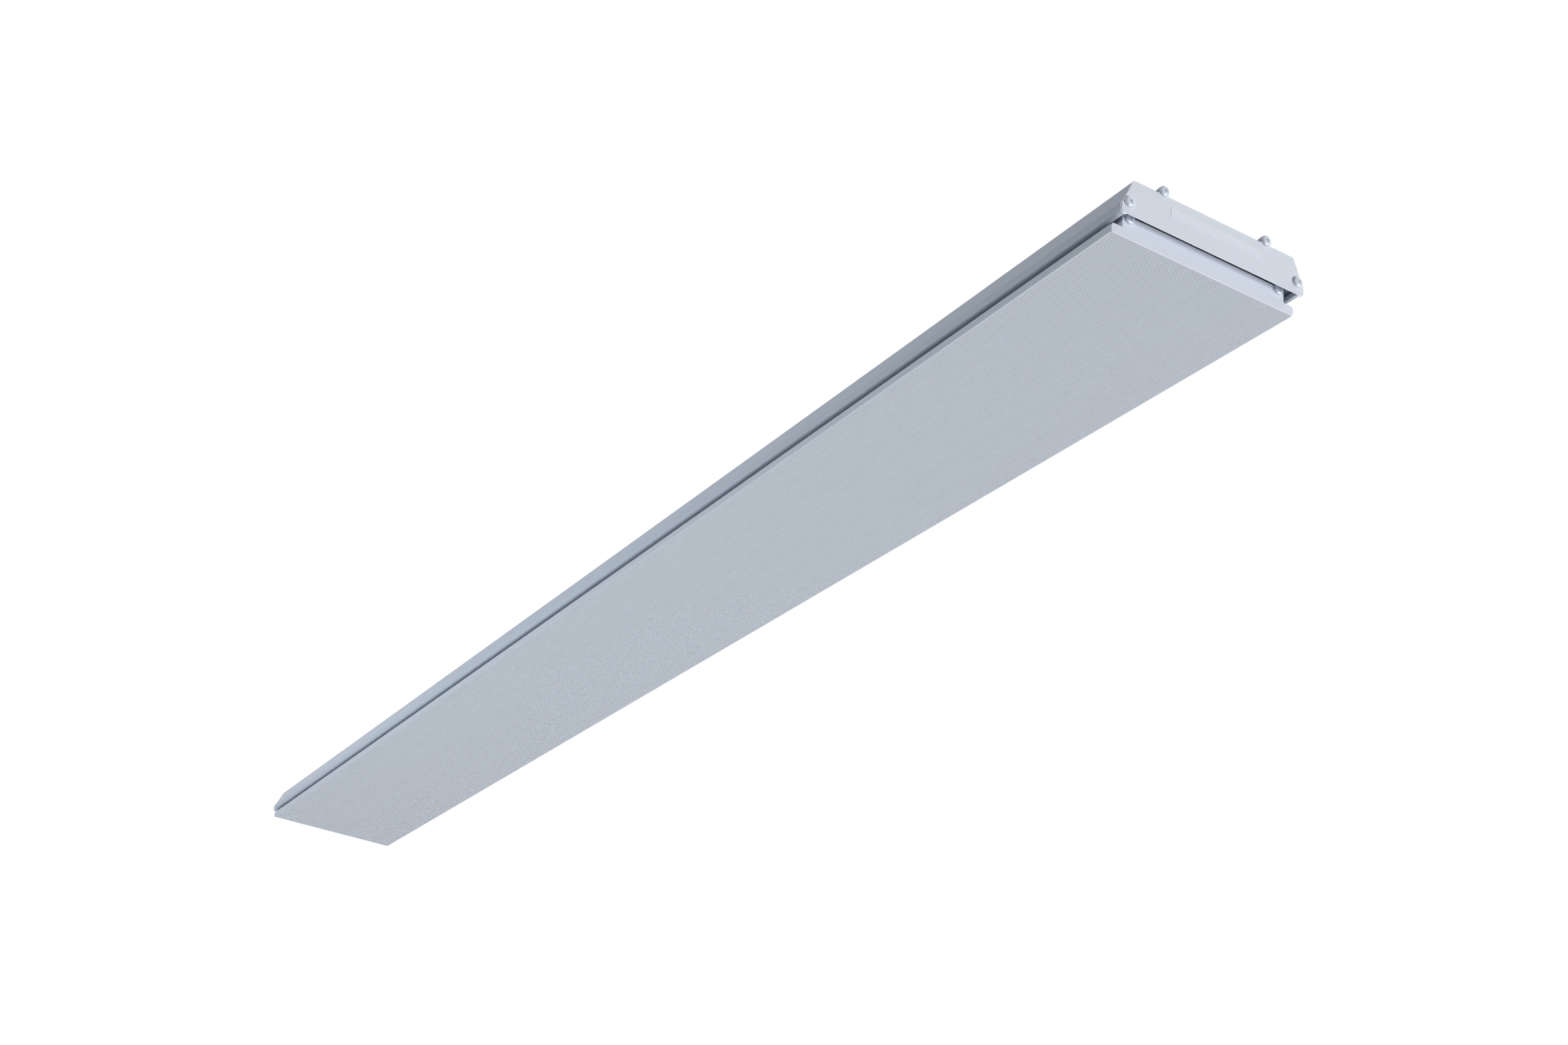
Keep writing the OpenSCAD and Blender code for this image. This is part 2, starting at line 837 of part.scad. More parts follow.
module insulation_mat() {
    half = half_panel - mat_end_gap;
    color([0.9, 0.87, 0.72]) difference() {
        block([-half, -mat_width / 2, mat_z], [half, mat_width / 2, mat_top]);
        block([-half - 1, -mat_relief_width / 2, mat_z - 1],
              [half + 1, mat_relief_width / 2, mat_z + mat_relief_height]);
        element_way(mat_z - 1, mat_top + 1);
    }
}

module heat_shield() {
    half = half_panel - mat_end_gap;
    color([0.85, 0.86, 0.87]) difference() {
        along_x(-half, half) difference() {
            translate([-shield_width / 2, shield_top - shield_skirt]) square([shield_width, shield_skirt]);
            translate([shield_thickness - shield_width / 2, shield_top - shield_skirt - 1])
                square([shield_width - 2 * shield_thickness, shield_skirt + 1 - shield_thickness]);
        }
        element_way(shield_z - 1, shield_top + 1);
    }
}

// Hangers

module hanger_section() {
    translate([0, hanger_z]) square([wing_y, hanger_thickness]);
    translate([hanger_leg_y - hanger_thickness, hanger_foot_top - hanger_thickness])
        square([hanger_thickness, hanger_z + hanger_thickness / 2 - hanger_foot_top + hanger_thickness]);
    translate([hanger_leg_y - hanger_thickness / 2, hanger_foot_top - hanger_thickness])
        square([hanger_foot_y - hanger_leg_y + hanger_thickness / 2, hanger_thickness]);
}

module panel_hanger(i) {
    x = hanger_places[i - 1];
    color([0.74, 0.76, 0.78]) difference() {
        along_x(x - hanger_width / 2, x + hanger_width / 2) both_halves() hanger_section();
        translate([x, 0, hanger_z - 1])
            cylinder(r = centre_screw_shank / 2 + hole_gap, h = hanger_thickness + 2);
    }
}

module centre_standoff() {
    foot = hanger_z + hanger_thickness + seat_gap;
    color([0.76, 0.76, 0.74])
        translate([0, 0, foot])
            hex_nut(standoff_flats, roof - seat_gap - foot, centre_screw_shank / 2 + seat_gap);
}

module centre_screw() {
    color([0.8, 0.8, 0.78])
        translate([0, 0, housing_top])
            pan_screw(centre_screw_shank, centre_screw_length,
                      2 * centre_screw_shank, 0.6 * centre_screw_shank);
}

// Wiring tray

module wiring_tray() {
    end = half_housing - tray_end_gap;
    top = roof - seat_gap;
    color([0.75, 0.77, 0.79]) difference() {
        union() {
            block([bulkhead_x, -wing_y, tray_z], [end, wing_y, tray_top]);
            block([bulkhead_x, -bulkhead_half, tray_z], [bulkhead_x + tray_thickness, bulkhead_half, top]);
            block([bulkhead_x, -bulkhead_half, top - tray_thickness],
                  [bulkhead_x + tray_flange, bulkhead_half, top]);
        }
        at_cold_end(bulkhead_x - 1) cylinder(r = ferrule_neck + hole_gap, h = tray_thickness + 2);
        both_sides()
            translate([bulkhead_x + tray_flange / 2, tray_screw_y, top - tray_thickness - 1])
                cylinder(r = tray_screw_shank / 2 + hole_gap, h = tray_thickness + 2);
        for (y = [-block_screw_y, block_screw_y])
            translate([block_x + block_length / 2, y, tray_z - 1])
                cylinder(r = block_screw_shank / 2 + hole_gap, h = tray_thickness + 2);
        for (y = [-cutout_screw_y, cutout_screw_y])
            translate([cutout_x, y, tray_z - 1])
                cylinder(r = cutout_screw_shank / 2 + hole_gap, h = tray_thickness + 2);
    }
}

module tray_screws() {
    color([0.8, 0.8, 0.78]) both_sides()
        translate([bulkhead_x + tray_flange / 2, tray_screw_y, housing_top])
            pan_screw(tray_screw_shank, tray_screw_length, 2 * tray_screw_shank, 0.6 * tray_screw_shank);
}

module tray_nuts() {
    color([0.8, 0.8, 0.78]) both_sides()
        translate([bulkhead_x + tray_flange / 2, tray_screw_y,
                   roof - 2 * seat_gap - tray_thickness - nut_height])
            hex_nut(nut_flats, nut_height, tray_screw_shank / 2 + seat_gap);
}

// Terminal block

module at_poles() {
    for (y = pole_places)
        translate([block_x + block_length / 2, y, pole_z]) children();
}

module at_wire_screws() {
    at_poles() for (side = [-1, 1]) translate([side * clamp_pitch, 0, 0]) children();
}

module terminal_block() {
    floor_gap = seat_gap;
    color([0.93, 0.92, 0.88]) difference() {
        translate([block_x, -block_width / 2, block_z]) cube([block_length, block_width, block_height]);
        at_poles() translate([-block_length, 0, 0]) rotate([0, 90, 0])
            cylinder(r = insert_radius + floor_gap, h = 2 * block_length);
        at_wire_screws() cylinder(r = wire_screw_head + hole_gap, h = block_height);
        for (y = [-block_screw_y, block_screw_y])
            translate([block_x + block_length / 2, y, block_z]) {
                translate([0, 0, -1])
                    cylinder(r = block_screw_shank / 2 + hole_gap, h = block_height + 2);
                translate([0, 0, block_height - block_recess])
                    cylinder(r = block_screw_head / 2 + hole_gap, h = block_height);
            }
    }
}

module block_inserts() {
    length = block_length - 2 * insert_margin;
    color([0.8, 0.66, 0.36]) difference() {
        at_poles() translate([-length / 2, 0, 0]) rotate([0, 90, 0])
            ring(insert_radius, insert_bore, length);
        at_wire_screws() cylinder(r = wire_screw_shank + seat_gap, h = block_height);
    }
}

module block_wire_screws() {
    seat = insert_radius + seat_gap;
    tip = wire_diameter / 2 + seat_gap;
    color([0.78, 0.7, 0.5])
        at_wire_screws() translate([0, 0, seat])
            pan_screw(2 * wire_screw_shank, seat - tip, 2 * wire_screw_head, wire_screw_head * 0.7);
}

module block_fixing_screws() {
    head_z = block_z + block_height - block_recess;
    color([0.8, 0.8, 0.78])
        for (y = [-block_screw_y, block_screw_y])
            translate([block_x + block_length / 2, y, head_z])
                pan_screw(block_screw_shank, head_z - tray_z, block_screw_head, block_screw_head * 0.35);
}

// Overheat cut-out

module thermal_cutout() {
    color([0.2, 0.2, 0.21]) difference() {
        translate([cutout_x, 0, cutout_z]) {
            cylinder(r = cutout_radius, h = cutout_height - cutout_shoulder);
            cylinder(r = cutout_radius - cutout_step, h = cutout_height);
        }
        for (y = [-blade_y, blade_y])
            block([cutout_x + cutout_radius - blade_root,
                   y - blade_width / 2 - seat_gap, blade_z - blade_thickness / 2 - seat_gap],
                  [cutout_x + cutout_radius + 1,
                   y + blade_width / 2 + seat_gap, blade_z + blade_thickness / 2 + seat_gap]);
    }
}

module cutout_flange_plate() {
    reach = cutout_screw_y + cutout_ear;
    half = cutout_radius + cutout_ear / 2;
    color([0.76, 0.77, 0.78]) difference() {
        translate([cutout_x - half, -reach, cutout_z]) cube([2 * half, 2 * reach, cutout_flange]);
        translate([cutout_x, 0, cutout_z - 1]) cylinder(r = cutout_radius + hole_gap, h = cutout_flange + 2);
        for (y = [-cutout_screw_y, cutout_screw_y])
            translate([cutout_x, y, cutout_z - 1])
                cylinder(r = cutout_screw_shank / 2 + hole_gap, h = cutout_flange + 2);
    }
}

module cutout_blades() {
    root = cutout_x + cutout_radius - blade_root + seat_gap;
    tip = cutout_x + cutout_radius + blade_reach;
    color([0.82, 0.76, 0.6])
        for (y = [-blade_y, blade_y])
            block([root, y - blade_width / 2, blade_z - blade_thickness / 2],
                  [tip, y + blade_width / 2, blade_z + blade_thickness / 2]);
}

module cutout_screws() {
    color([0.8, 0.8, 0.78])
        for (y = [-cutout_screw_y, cutout_screw_y])
            translate([cutout_x, y, cutout_z + cutout_flange])
                pan_screw(cutout_screw_shank, cutout_z + cutout_flange - tray_z, cutout_screw_head, 1.6);
}

// Inner wiring

receptacle_x = cutout_x + cutout_radius + 1;
receptacle_end = receptacle_x + receptacle_size[0];

module wire_receptacles() {
    color([0.84, 0.78, 0.62])
        for (y = [-blade_y, blade_y]) difference() {
            translate([receptacle_x, y - receptacle_size[1] / 2, blade_z - receptacle_size[2] / 2])
                cube(receptacle_size);
            block([receptacle_x - 1,
                   y - blade_width / 2 - seat_gap, blade_z - blade_thickness / 2 - seat_gap],
                  [receptacle_x + blade_reach,
                   y + blade_width / 2 + seat_gap, blade_z + blade_thickness / 2 + seat_gap]);
        }
}

// A ring lug, ring in the XY plane, with its barrel beside the ring and along Z
module lug(bore) {
    difference() {
        union() {
            cylinder(r = lug_radius, h = lug_thickness);
            translate([-barrel_radius, 0, 0]) cube([2 * barrel_radius, lug_offset, lug_thickness]);
            translate([0, lug_offset, 0]) cylinder(r = barrel_radius, h = barrel_length);
        }
        translate([0, 0, -1]) cylinder(r = bore + seat_gap, h = lug_thickness + 2);
    }
}

earth_lug_z = tray_top + seat_gap;

module wire_lugs() {
    color([0.84, 0.78, 0.62]) {
        both_sides()
            translate([lug_x, leg_y, pin_z]) rotate([0, 90, 0]) rotate([0, 0, 180]) lug(pin_radius);
        translate([earth_place[0], earth_place[1], earth_lug_z]) difference() {
            union() {
                cylinder(r = lug_radius, h = lug_thickness);
                translate([0, -barrel_radius, 0]) cube([lug_offset, 2 * barrel_radius, lug_thickness]);
                translate([lug_radius, 0, barrel_radius]) rotate([0, 90, 0])
                    cylinder(r = barrel_radius, h = barrel_length);
            }
            translate([0, 0, -1]) cylinder(r = earth_radius + seat_gap, h = lug_thickness + 2);
        }
    }
}

wire_gap = 0.1;
wire_lead = 4;
pin_wire_y = leg_y - lug_offset;
pin_wire_x = lug_x + barrel_length + wire_gap;
earth_wire_x = earth_place[0] + lug_radius + barrel_length + wire_gap;
wire_end = block_x + wire_entry;

function into_pole(y) = [[block_x - wire_lead, y, pole_z], [block_x, y, pole_z], [wire_end, y, pole_z]];

module live_wire() {
    start = receptacle_end + wire_gap;
    color([0.45, 0.28, 0.16])
        wire(concat([[start, blade_y, blade_z], [start + wire_lead, blade_y, blade_z]], into_pole(0)),
             wire_diameter / 2);
}

module switched_wire() {
    start = receptacle_end + wire_gap;
    bend = start + 2 * wire_lead;
    color([0.1, 0.1, 0.1])
        wire([[start, -blade_y, blade_z], [start + wire_lead / 2, -blade_y, blade_z],
              [bend, -blade_y, blade_z], [bend, -pin_wire_y, pin_z], [start, -pin_wire_y, pin_z],
              [pin_wire_x, -pin_wire_y, pin_z]], wire_diameter / 2);
}

module neutral_wire() {
    color([0.2, 0.35, 0.65])
        wire(concat([[pin_wire_x, pin_wire_y, pin_z], [pin_wire_x + 2 * wire_lead, pin_wire_y, pin_z]],
                    into_pole(pole_pitch)), wire_diameter / 2);
}

module earth_wire() {
    z = earth_lug_z + barrel_radius;
    color([0.35, 0.6, 0.25])
        wire(concat([[earth_wire_x, earth_place[1], z], [block_x - 2 * wire_lead, earth_place[1], z],
                     [block_x - 2 * wire_lead, -pole_pitch, pole_z]],
                    into_pole(-pole_pitch)), wire_diameter / 2);
}

module earth_stud() {
    color([0.8, 0.78, 0.7])
        translate([earth_place[0], earth_place[1], tray_top + seat_gap])
            cylinder(r = earth_radius, h = earth_height);
}

module earth_nut() {
    seat = earth_lug_z + lug_thickness + seat_gap;
    washer = 0.8;
    color([0.78, 0.76, 0.7]) translate([earth_place[0], earth_place[1], seat]) {
        ring(lug_radius - 0.2, earth_radius + seat_gap, washer);
        translate([0, 0, washer + seat_gap]) hex_nut(nut_flats, nut_height, earth_radius + seat_gap);
    }
}

// Cable gland

gland_seat = housing_top + seat_gap;
gland_neck_z = gland_seat + gland_hex;
gland_neck_top = gland_neck_z + gland_neck;
gland_neck_radius = gland_radius - 0.2;
seal_z = gland_neck_top - seal_height / 2;
seal_step = 2;
dome_z = gland_neck_z + 1;

module gland_body() {
    bore = gland_bore / 2 + body_ease;
    tail = roof - gland_nut_height - 0.5;
    color([0.75, 0.77, 0.8]) translate([gland_x, 0, 0]) difference() {
        union() {
            translate([0, 0, gland_seat]) cylinder(r = gland_corner, h = gland_hex, $fn = 6);
            translate([0, 0, tail]) cylinder(r = gland_radius, h = gland_seat + 1 - tail);
            translate([0, 0, gland_neck_z - 1]) cylinder(r = gland_neck_radius, h = gland_neck + 1);
        }
        translate([0, 0, tail - 1]) cylinder(r = bore, h = gland_neck_top - tail + 2);
        translate([0, 0, seal_z - seat_gap])
            cylinder(r = gland_bore / 2 + seal_step + seat_gap, h = seal_height);
    }
}

module gland_seal() {
    color([0.15, 0.15, 0.15]) translate([gland_x, 0, seal_z])
        ring(gland_bore / 2 + seal_step, gland_bore / 2 + seal_ease, seal_height);
}

module gland_dome_nut() {
    outer = gland_neck_radius + dome_wall;
    top = seal_z + seal_height + seat_gap + dome_roof;
    color([0.75, 0.77, 0.8]) translate([gland_x, 0, 0]) difference() {
        union() {
            translate([0, 0, dome_z]) cylinder(r = outer / cos(30), h = top - dome_z - dome_roof, $fn = 6);
            translate([0, 0, dome_z]) cylinder(r = outer, h = top - dome_z);
        }
        translate([0, 0, dome_z - 1])
            cylinder(r = gland_neck_radius + hole_gap, h = top - dome_roof - dome_z + 1);
        translate([0, 0, dome_z]) cylinder(r = gland_bore / 2, h = top);
    }
}

module gland_lock_nut() {
    color([0.75, 0.77, 0.8])
        translate([gland_x, 0, roof - seat_gap - gland_nut_height])
            hex_nut(gland_flats, gland_nut_height, gland_radius + seat_gap);
}

// Brackets that slide along the rails

module bracket_section() {
    leg = bracket_width / 2;
    foot_top = foot_z + bracket_thickness;
    inner = bracket_thickness;
    outer = 2 * bracket_thickness;
    polygon(rounded(
        [[foot_y, foot_z], [foot_y, foot_top], [leg, foot_top], [leg, bracket_top],
         [-leg, bracket_top], [-leg, foot_top], [-foot_y, foot_top], [-foot_y, foot_z],
         [bracket_thickness - leg, foot_z], [bracket_thickness - leg, bracket_top - bracket_thickness],
         [leg - bracket_thickness, bracket_top - bracket_thickness], [leg - bracket_thickness, foot_z]],
        [0, 0, inner, outer, outer, inner, 0, 0, outer, inner, inner, outer]));
}

module bracket(x) {
    difference() {
        along_x(x - bracket_length / 2, x + bracket_length / 2) bracket_section();
        for (side = [-1, 1])
            translate([x, side * slot_spacing / 2, bracket_top - bracket_thickness - 1])
                slot_cut(slot_length, slot_width, bracket_thickness + 2);
        translate([x, lock_y, foot_z - 1])
            cylinder(r = lock_shank / 2 + hole_gap, h = bracket_thickness + 2);
    }
}

module bracket_lock(x) {
    translate([x, lock_y, foot_z + bracket_thickness + seat_gap])
        hex_nut(lock_flats, lock_nut_height, lock_shank / 2 + seat_gap);
    translate([x, lock_y, foot_z]) {
        cylinder(d = lock_shank, h = lock_length);
        translate([0, 0, lock_length - 0.5]) cylinder(d = lock_flats / cos(30), h = 3.5, $fn = 6);
    }
}

module terminal_bracket() {
    color([0.7, 0.72, 0.74]) bracket(bracket_place);
}

module plain_bracket() {
    color([0.7, 0.72, 0.74]) bracket(-bracket_place);
}

module terminal_bracket_lock() {
    color([0.62, 0.63, 0.65]) bracket_lock(bracket_place);
}

module plain_bracket_lock() {
    color([0.62, 0.63, 0.65]) bracket_lock(-bracket_place);
}

housing();
terminal_end_plate();
plain_end_plate();
terminal_end_plate_screws();
plain_end_plate_screws();
blank_label();
radiant_panel();
terminal_panel_cap();
plain_panel_cap();
terminal_panel_cap_screws();
plain_panel_cap_screws();
heating_element();
element_ferrules();
element_seals();
element_pins();
element_nuts();
for (i = [1 : clamp_count])
    element_clamp(i);
element_clamp_screws();
insulation_mat();
heat_shield();
for (i = [1 : hanger_count])
    panel_hanger(i);
centre_standoff();
centre_screw();
wiring_tray();
tray_screws();
tray_nuts();
terminal_block();
block_inserts();
block_wire_screws();
block_fixing_screws();
thermal_cutout();
cutout_flange_plate();
cutout_blades();
cutout_screws();
wire_receptacles();
wire_lugs();
live_wire();
switched_wire();
neutral_wire();
earth_wire();
earth_stud();
earth_nut();
gland_body();
gland_seal();
gland_dome_nut();
gland_lock_nut();
terminal_bracket();
plain_bracket();
terminal_bracket_lock();
plain_bracket_lock();
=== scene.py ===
import json
import math

import bmesh
import bpy
from bpy.props import FloatProperty, FloatVectorProperty, IntProperty, PointerProperty
from mathutils import Matrix, Vector, noise


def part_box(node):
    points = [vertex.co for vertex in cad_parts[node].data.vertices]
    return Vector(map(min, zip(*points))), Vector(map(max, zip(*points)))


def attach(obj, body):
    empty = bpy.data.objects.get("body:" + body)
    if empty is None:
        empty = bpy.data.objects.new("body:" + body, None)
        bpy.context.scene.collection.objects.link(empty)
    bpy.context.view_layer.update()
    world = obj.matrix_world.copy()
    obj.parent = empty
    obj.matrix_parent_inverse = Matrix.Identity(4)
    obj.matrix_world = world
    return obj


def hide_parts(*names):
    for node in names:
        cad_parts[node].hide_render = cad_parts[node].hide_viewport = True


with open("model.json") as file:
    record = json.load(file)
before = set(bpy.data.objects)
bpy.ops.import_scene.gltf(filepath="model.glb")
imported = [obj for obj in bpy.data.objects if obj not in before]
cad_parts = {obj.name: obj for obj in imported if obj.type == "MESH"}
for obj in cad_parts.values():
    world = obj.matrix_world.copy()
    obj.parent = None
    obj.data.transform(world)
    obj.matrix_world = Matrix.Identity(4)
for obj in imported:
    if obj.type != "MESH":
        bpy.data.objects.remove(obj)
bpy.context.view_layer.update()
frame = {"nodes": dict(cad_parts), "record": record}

bl_info = {
    "name": "Infrared strip heater",
    "version": (1, 0, 0),
    "blender": (4, 5, 0),
    "location": "3D View > Sidebar > Strip heater",
    "description": "Makes the finished pieces of a strip heater round its packed model",
    "category": "Object",
}

MM = 0.001
MERGE = 1e-7

# Small roundings that the cross-sections share
HAIR = 0.2 * MM
FINE = 0.3 * MM
SOFT = 0.4 * MM
BLUNT = 0.5 * MM

# Shares of a full rounding, just short of where two arcs would meet
BORE_ARC = 0.98
SLOT_ARC = 0.99

DRILL_SIDES = 32
EXTRA = 1 * MM  # how far a cutting shape reaches past the face that it cuts

# Head radius, rise, shank radius and length of the screws in the flat back
TRAY_SCREW = (4 * MM, 2.4 * MM, 2 * MM, 7 * MM)
CENTRE_SCREW = (5 * MM, 3 * MM, 2.5 * MM, 10 * MM)


def low(node):
    """The lowest corner of a packed node's box, in millimetres."""
    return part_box(node)[0] / MM


def high(node):
    """The highest corner of a packed node's box, in millimetres."""
    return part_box(node)[1] / MM


def middle(node):
    """The middle of a packed node's box, in millimetres."""
    return (low(node) + high(node)) / 2


def size(name, millimetres, description):
    """A length that the sidebar shows in the scene's own unit."""
    return FloatProperty(name=name, description=description, default=millimetres * MM,
                         unit="LENGTH", precision=5)


def paint(name, rgb, description):
    """A base colour."""
    return FloatVectorProperty(name=name, description=description, default=rgb,
                               size=3, min=0.0, max=1.0, subtype="COLOR")


# Sizes and colours

class HousingSizes(bpy.types.PropertyGroup):
    """The housing's cross-section, seen from the heater's wired end."""
    end: size("Half length", high("housing").x, "Middle to either cut end")
    side: size("Half width", high("housing").y, "Middle to the outside of the upright side")
    base: size("Base", low("housing").z, "Height of the end plates' lower edge")
    lip_base: size("Lip base", low("housing").z + 1.3, "Height of the lips' underside")
    top: size("Top", 40, "Height of the flat back")
    wall: size("Wall", 1.6, "Thickness of the sheet")
    lip: size("Lip", 4.6, "How far each lower lip turns in")
    lip_return: size("Lip return", 3.9, "Height of the wall on a lip's inner edge")
    return_wall: size("Return wall", 1.4, "Thickness of that wall")
    lower_corner: size("Lower corner", 2.7, "Radius of the lower outer corners")
    shoulder: size("Shoulder", 19.1, "Height where the upright side ends")
    step: size("Shoulder step", 1.4, "Size of the small step above the upright side")
    half_top: size("Half top", 73.3, "Middle to the corner of the flat back")
    rail_y: size("Rail place", 46.7, "Middle to the centre of a rail")
    rail_z: size("Rail height", 42.4, "Height of a rail's round centre")
    rail_radius: size("Rail radius", 4.1, "Radius of a rail's round top")
    groove_height: size("Groove height", 1.75, "Height of the groove that holds a bracket's foot")
    groove_depth: size("Groove depth", 1.5, "Depth of that groove")
    port_y: size("Port place", 76.6, "Middle to the centre of a lower screw port")
    port_z: size("Port height", 20.0, "Height of a lower screw port's centre")
    port_radius: size("Port radius", 3.0, "Outer radius of a lower screw port")
    shelf_edge: size("Shelf edge", 65.1, "Middle to the inner shelf's edge")
    bore: size("Port bore", 2.1, "Radius of every screw port's bore")
    slot: size("Port slot", 1.6, "Width of the slot beside every bore")


class PanelSizes(bpy.types.PropertyGroup):
    """The ribbed radiant panel and its caps."""
    end: size("Half length", high("radiant_panel").x, "Middle to either cut end")
    side: size("Half width", high("radiant_panel").y, "Middle to the outside of a lip")
    plate: size("Plate", 3, "Thickness of the ribbed plate")
    wall: size("Wall", 1.6, "Thickness of lips and upstands")
    lip: size("Lip height", 6.6, "Height of the side lips")
    cap_lip: size("Cap side height", 7, "Height of a cap's two sides")
    lower_corner: size("Lower corner", 0.15, "Radius of the lower edges")
    rib_pitch: size("Rib pitch", 2.13, "One rib to the next")
    rib_depth: size("Rib depth", 0.3, "Depth of the grooves")
    rib_crest: size("Rib crest", 0.5, "Width of a rib's crest")
    groove_floor: size("Groove floor", 0.5, "Width of a groove's floor")
    rib_rounding: size("Rib rounding", 0.35, "Radius of crests and grooves")
    grooves: IntProperty(name="Grooves", description="Grooves across the face", default=76, min=2)
    upstand: size("Upstand", 73.5, "Middle to the outside of an upstand")
    upstand_top: size("Upstand top", 19, "Height of the upstands")
    flange: size("Flange", 55.3, "Middle to the inner edge of an upstand's flange")
    port_y: size("Port place", 68, "Middle to the centre of a cap screw's port")
    port_z: size("Port height", 15.5, "Height of a cap screw's port")
    port_radius: size("Port radius", 3.4, "Outer radius of a cap screw's port")
    bore: size("Port bore", 2.1, "Radius of a cap screw port's bore")
    slot: size("Port slot", 1.6, "Width of the slot beside that bore")
    leg_y: size("Channel place", 30, "Middle to the middle of an element channel")
    channel: size("Channel width", 12.8, "Width of an element channel")
    channel_top: size("Channel height", 8.6, "Height of an element channel")
    channel_start: size("Channel start", low("heating_element").x + 36.9,
                        "Where the channels start")
    channel_end: size("Channel end", high("heating_element").x - 49, "Where the channels end")
    cap_lower_corner: size("Cap lower corner", 1.8, "Radius of a cap's lower corners")
    cap_side_corner: size("Cap side corner", 2, "Radius of the corners above them")
    cap_upper_corner: size("Cap upper corner", 1.5, "Radius of a cap's top corners")


class TrimSizes(bpy.types.PropertyGroup):
    """End plates, screws, brackets and the cable gland."""
    edge: size("Plate edge", 0.2, "Rounding of the plates' outer edges")
    ear: size("Ear radius", 4.3, "Radius of the end plates' two ears")
    thin_edge: size("Thin edge", 0.6, "Thickness of an end plate's lower edge between the lips")
    relief: size("Relief", 3, "Height of the relief behind that edge")
    screw_head: size("Screw head", 4.2, "Radius of a pan head")
    screw_rise: size("Screw rise", 2.6, "Height of a pan head")
    screw_shank: size("Screw shank", 2.0, "Radius of the shank")
    screw_length: size("Screw length", 13, "Length of the shank")
    bracket_x: size("Bracket place", 600, "Middle of the heater to the middle of a bracket")
    bracket_sheet: size("Bracket sheet", 1.5, "Thickness of the bracket's steel")
    slot_y: size("Slot place", 18, "Middle to the middle of a fixing slot")
    slot_length: size("Slot length", 14, "Length of a fixing slot")
    slot_width: size("Slot width", 6.5, "Width of a fixing slot")
    lock_y: size("Lock place", middle("terminal_bracket_lock").y, "Middle to a lock screw's axis")
    tray_x: size("Tray screws", middle("tray_screws").x, "Middle to the wiring tray's screws")
    tray_y: size("Tray screw spacing", 20, "Middle to the axis of a tray screw")
    gland_x: size("Gland place", middle("gland_seal").x,
                  "Middle of the heater to the gland's axis")


class Finishes(bpy.types.PropertyGroup):
    """Base colours of the heater's finishes."""
    housing_aluminium: paint("Housing", (0.50, 0.545, 0.615), "Satin anodised housing")
    panel_aluminium: paint("Panel", (0.515, 0.558, 0.622), "Satin anodised radiant panel")
    end_plate_paint: paint("End plates", (0.72, 0.765, 0.845),
                           "Fine satin paint of plates and caps")
    label_film: paint("Label", (0.755, 0.81, 0.895), "Blank film on the end plate")
    screw_steel: paint("Screws", (0.60, 0.65, 0.73), "Zinc-plated screws")
    sheet_steel: paint("Sheet steel", (0.55, 0.57, 0.59), "Galvanised sheet")
    bracket_steel: paint("Brackets", (0.57, 0.60, 0.64), "Zinc-plated bracket steel")
    element_steel: paint("Element", (0.17, 0.15, 0.14), "Heat-darkened sheath")
    shield_aluminium: paint("Heat shield", (0.74, 0.75, 0.77), "Bright rolled aluminium")
    plain_brass: paint("Brass", (0.62, 0.47, 0.24), "Plain brass")
    plated_brass: paint("Plated brass", (0.52, 0.52, 0.51), "Nickel-plated brass")
    ceramic: paint("Ceramic", (0.78, 0.75, 0.68), "Unglazed ceramic")
    mineral_mat: paint("Mineral mat", (0.72, 0.68, 0.55), "Mineral fibre")
    block_plastic: paint("Terminal block", (0.74, 0.72, 0.66), "Moulded terminal block")
    cutout_plastic: paint("Cut-out", (0.09, 0.08, 0.075), "Moulded phenolic")
    seal_rubber: paint("Seal", (0.022, 0.022, 0.024), "Rubber")
    brown_sleeve: paint("Live sleeve", (0.16, 0.065, 0.03), "Brown silicone sleeve")
    black_sleeve: paint("Switched sleeve", (0.025, 0.025, 0.028), "Black silicone sleeve")
    blue_sleeve: paint("Neutral sleeve", (0.03, 0.11, 0.36), "Blue silicone sleeve")
    green_sleeve: paint("Earth sleeve", (0.10, 0.33, 0.07), "Green silicone sleeve")


class StageSizes(bpy.types.PropertyGroup):
    """Camera, floor and light."""
    lens: FloatProperty(name="Lens", description="Focal length on a 36 mm wide sensor",
                        default=47.472, min=1.0, unit="CAMERA")
    place: FloatVectorProperty(name="Camera", description="Where the camera stands", size=3,
                               default=(1.8170, -0.8060, -0.8247), subtype="TRANSLATION",
                               unit="LENGTH", precision=5)
    turn: FloatVectorProperty(name="Turn", description="How the camera is turned", size=3,
                              default=(2.034759, -0.101377, 1.027358), subtype="EULER",
                              unit="ROTATION", precision=6)
    floor: size("Floor", -4200, "Height of the floor below the heater, which hangs from a ceiling")
    daylight: FloatProperty(name="Room light", description="Strength of the light from all round",
                            default=0.22, min=0.0)


GROUPS = {
    "heater_housing": HousingSizes,
    "heater_panel": PanelSizes,
    "heater_trim": TrimSizes,
    "heater_finishes": Finishes,
    "heater_stage": StageSizes,
}


# Finishes

NOISE_LOW, NOISE_HIGH = 0.3, 0.7  # where most of a noise texture's values lie
SMEARS = 0.13  # scale of the broad smears, as a share of the finish's own pattern
RELIEF = 2.5  # scale of the fine relief, as a share of the same
USUAL_BUMP = 0.3


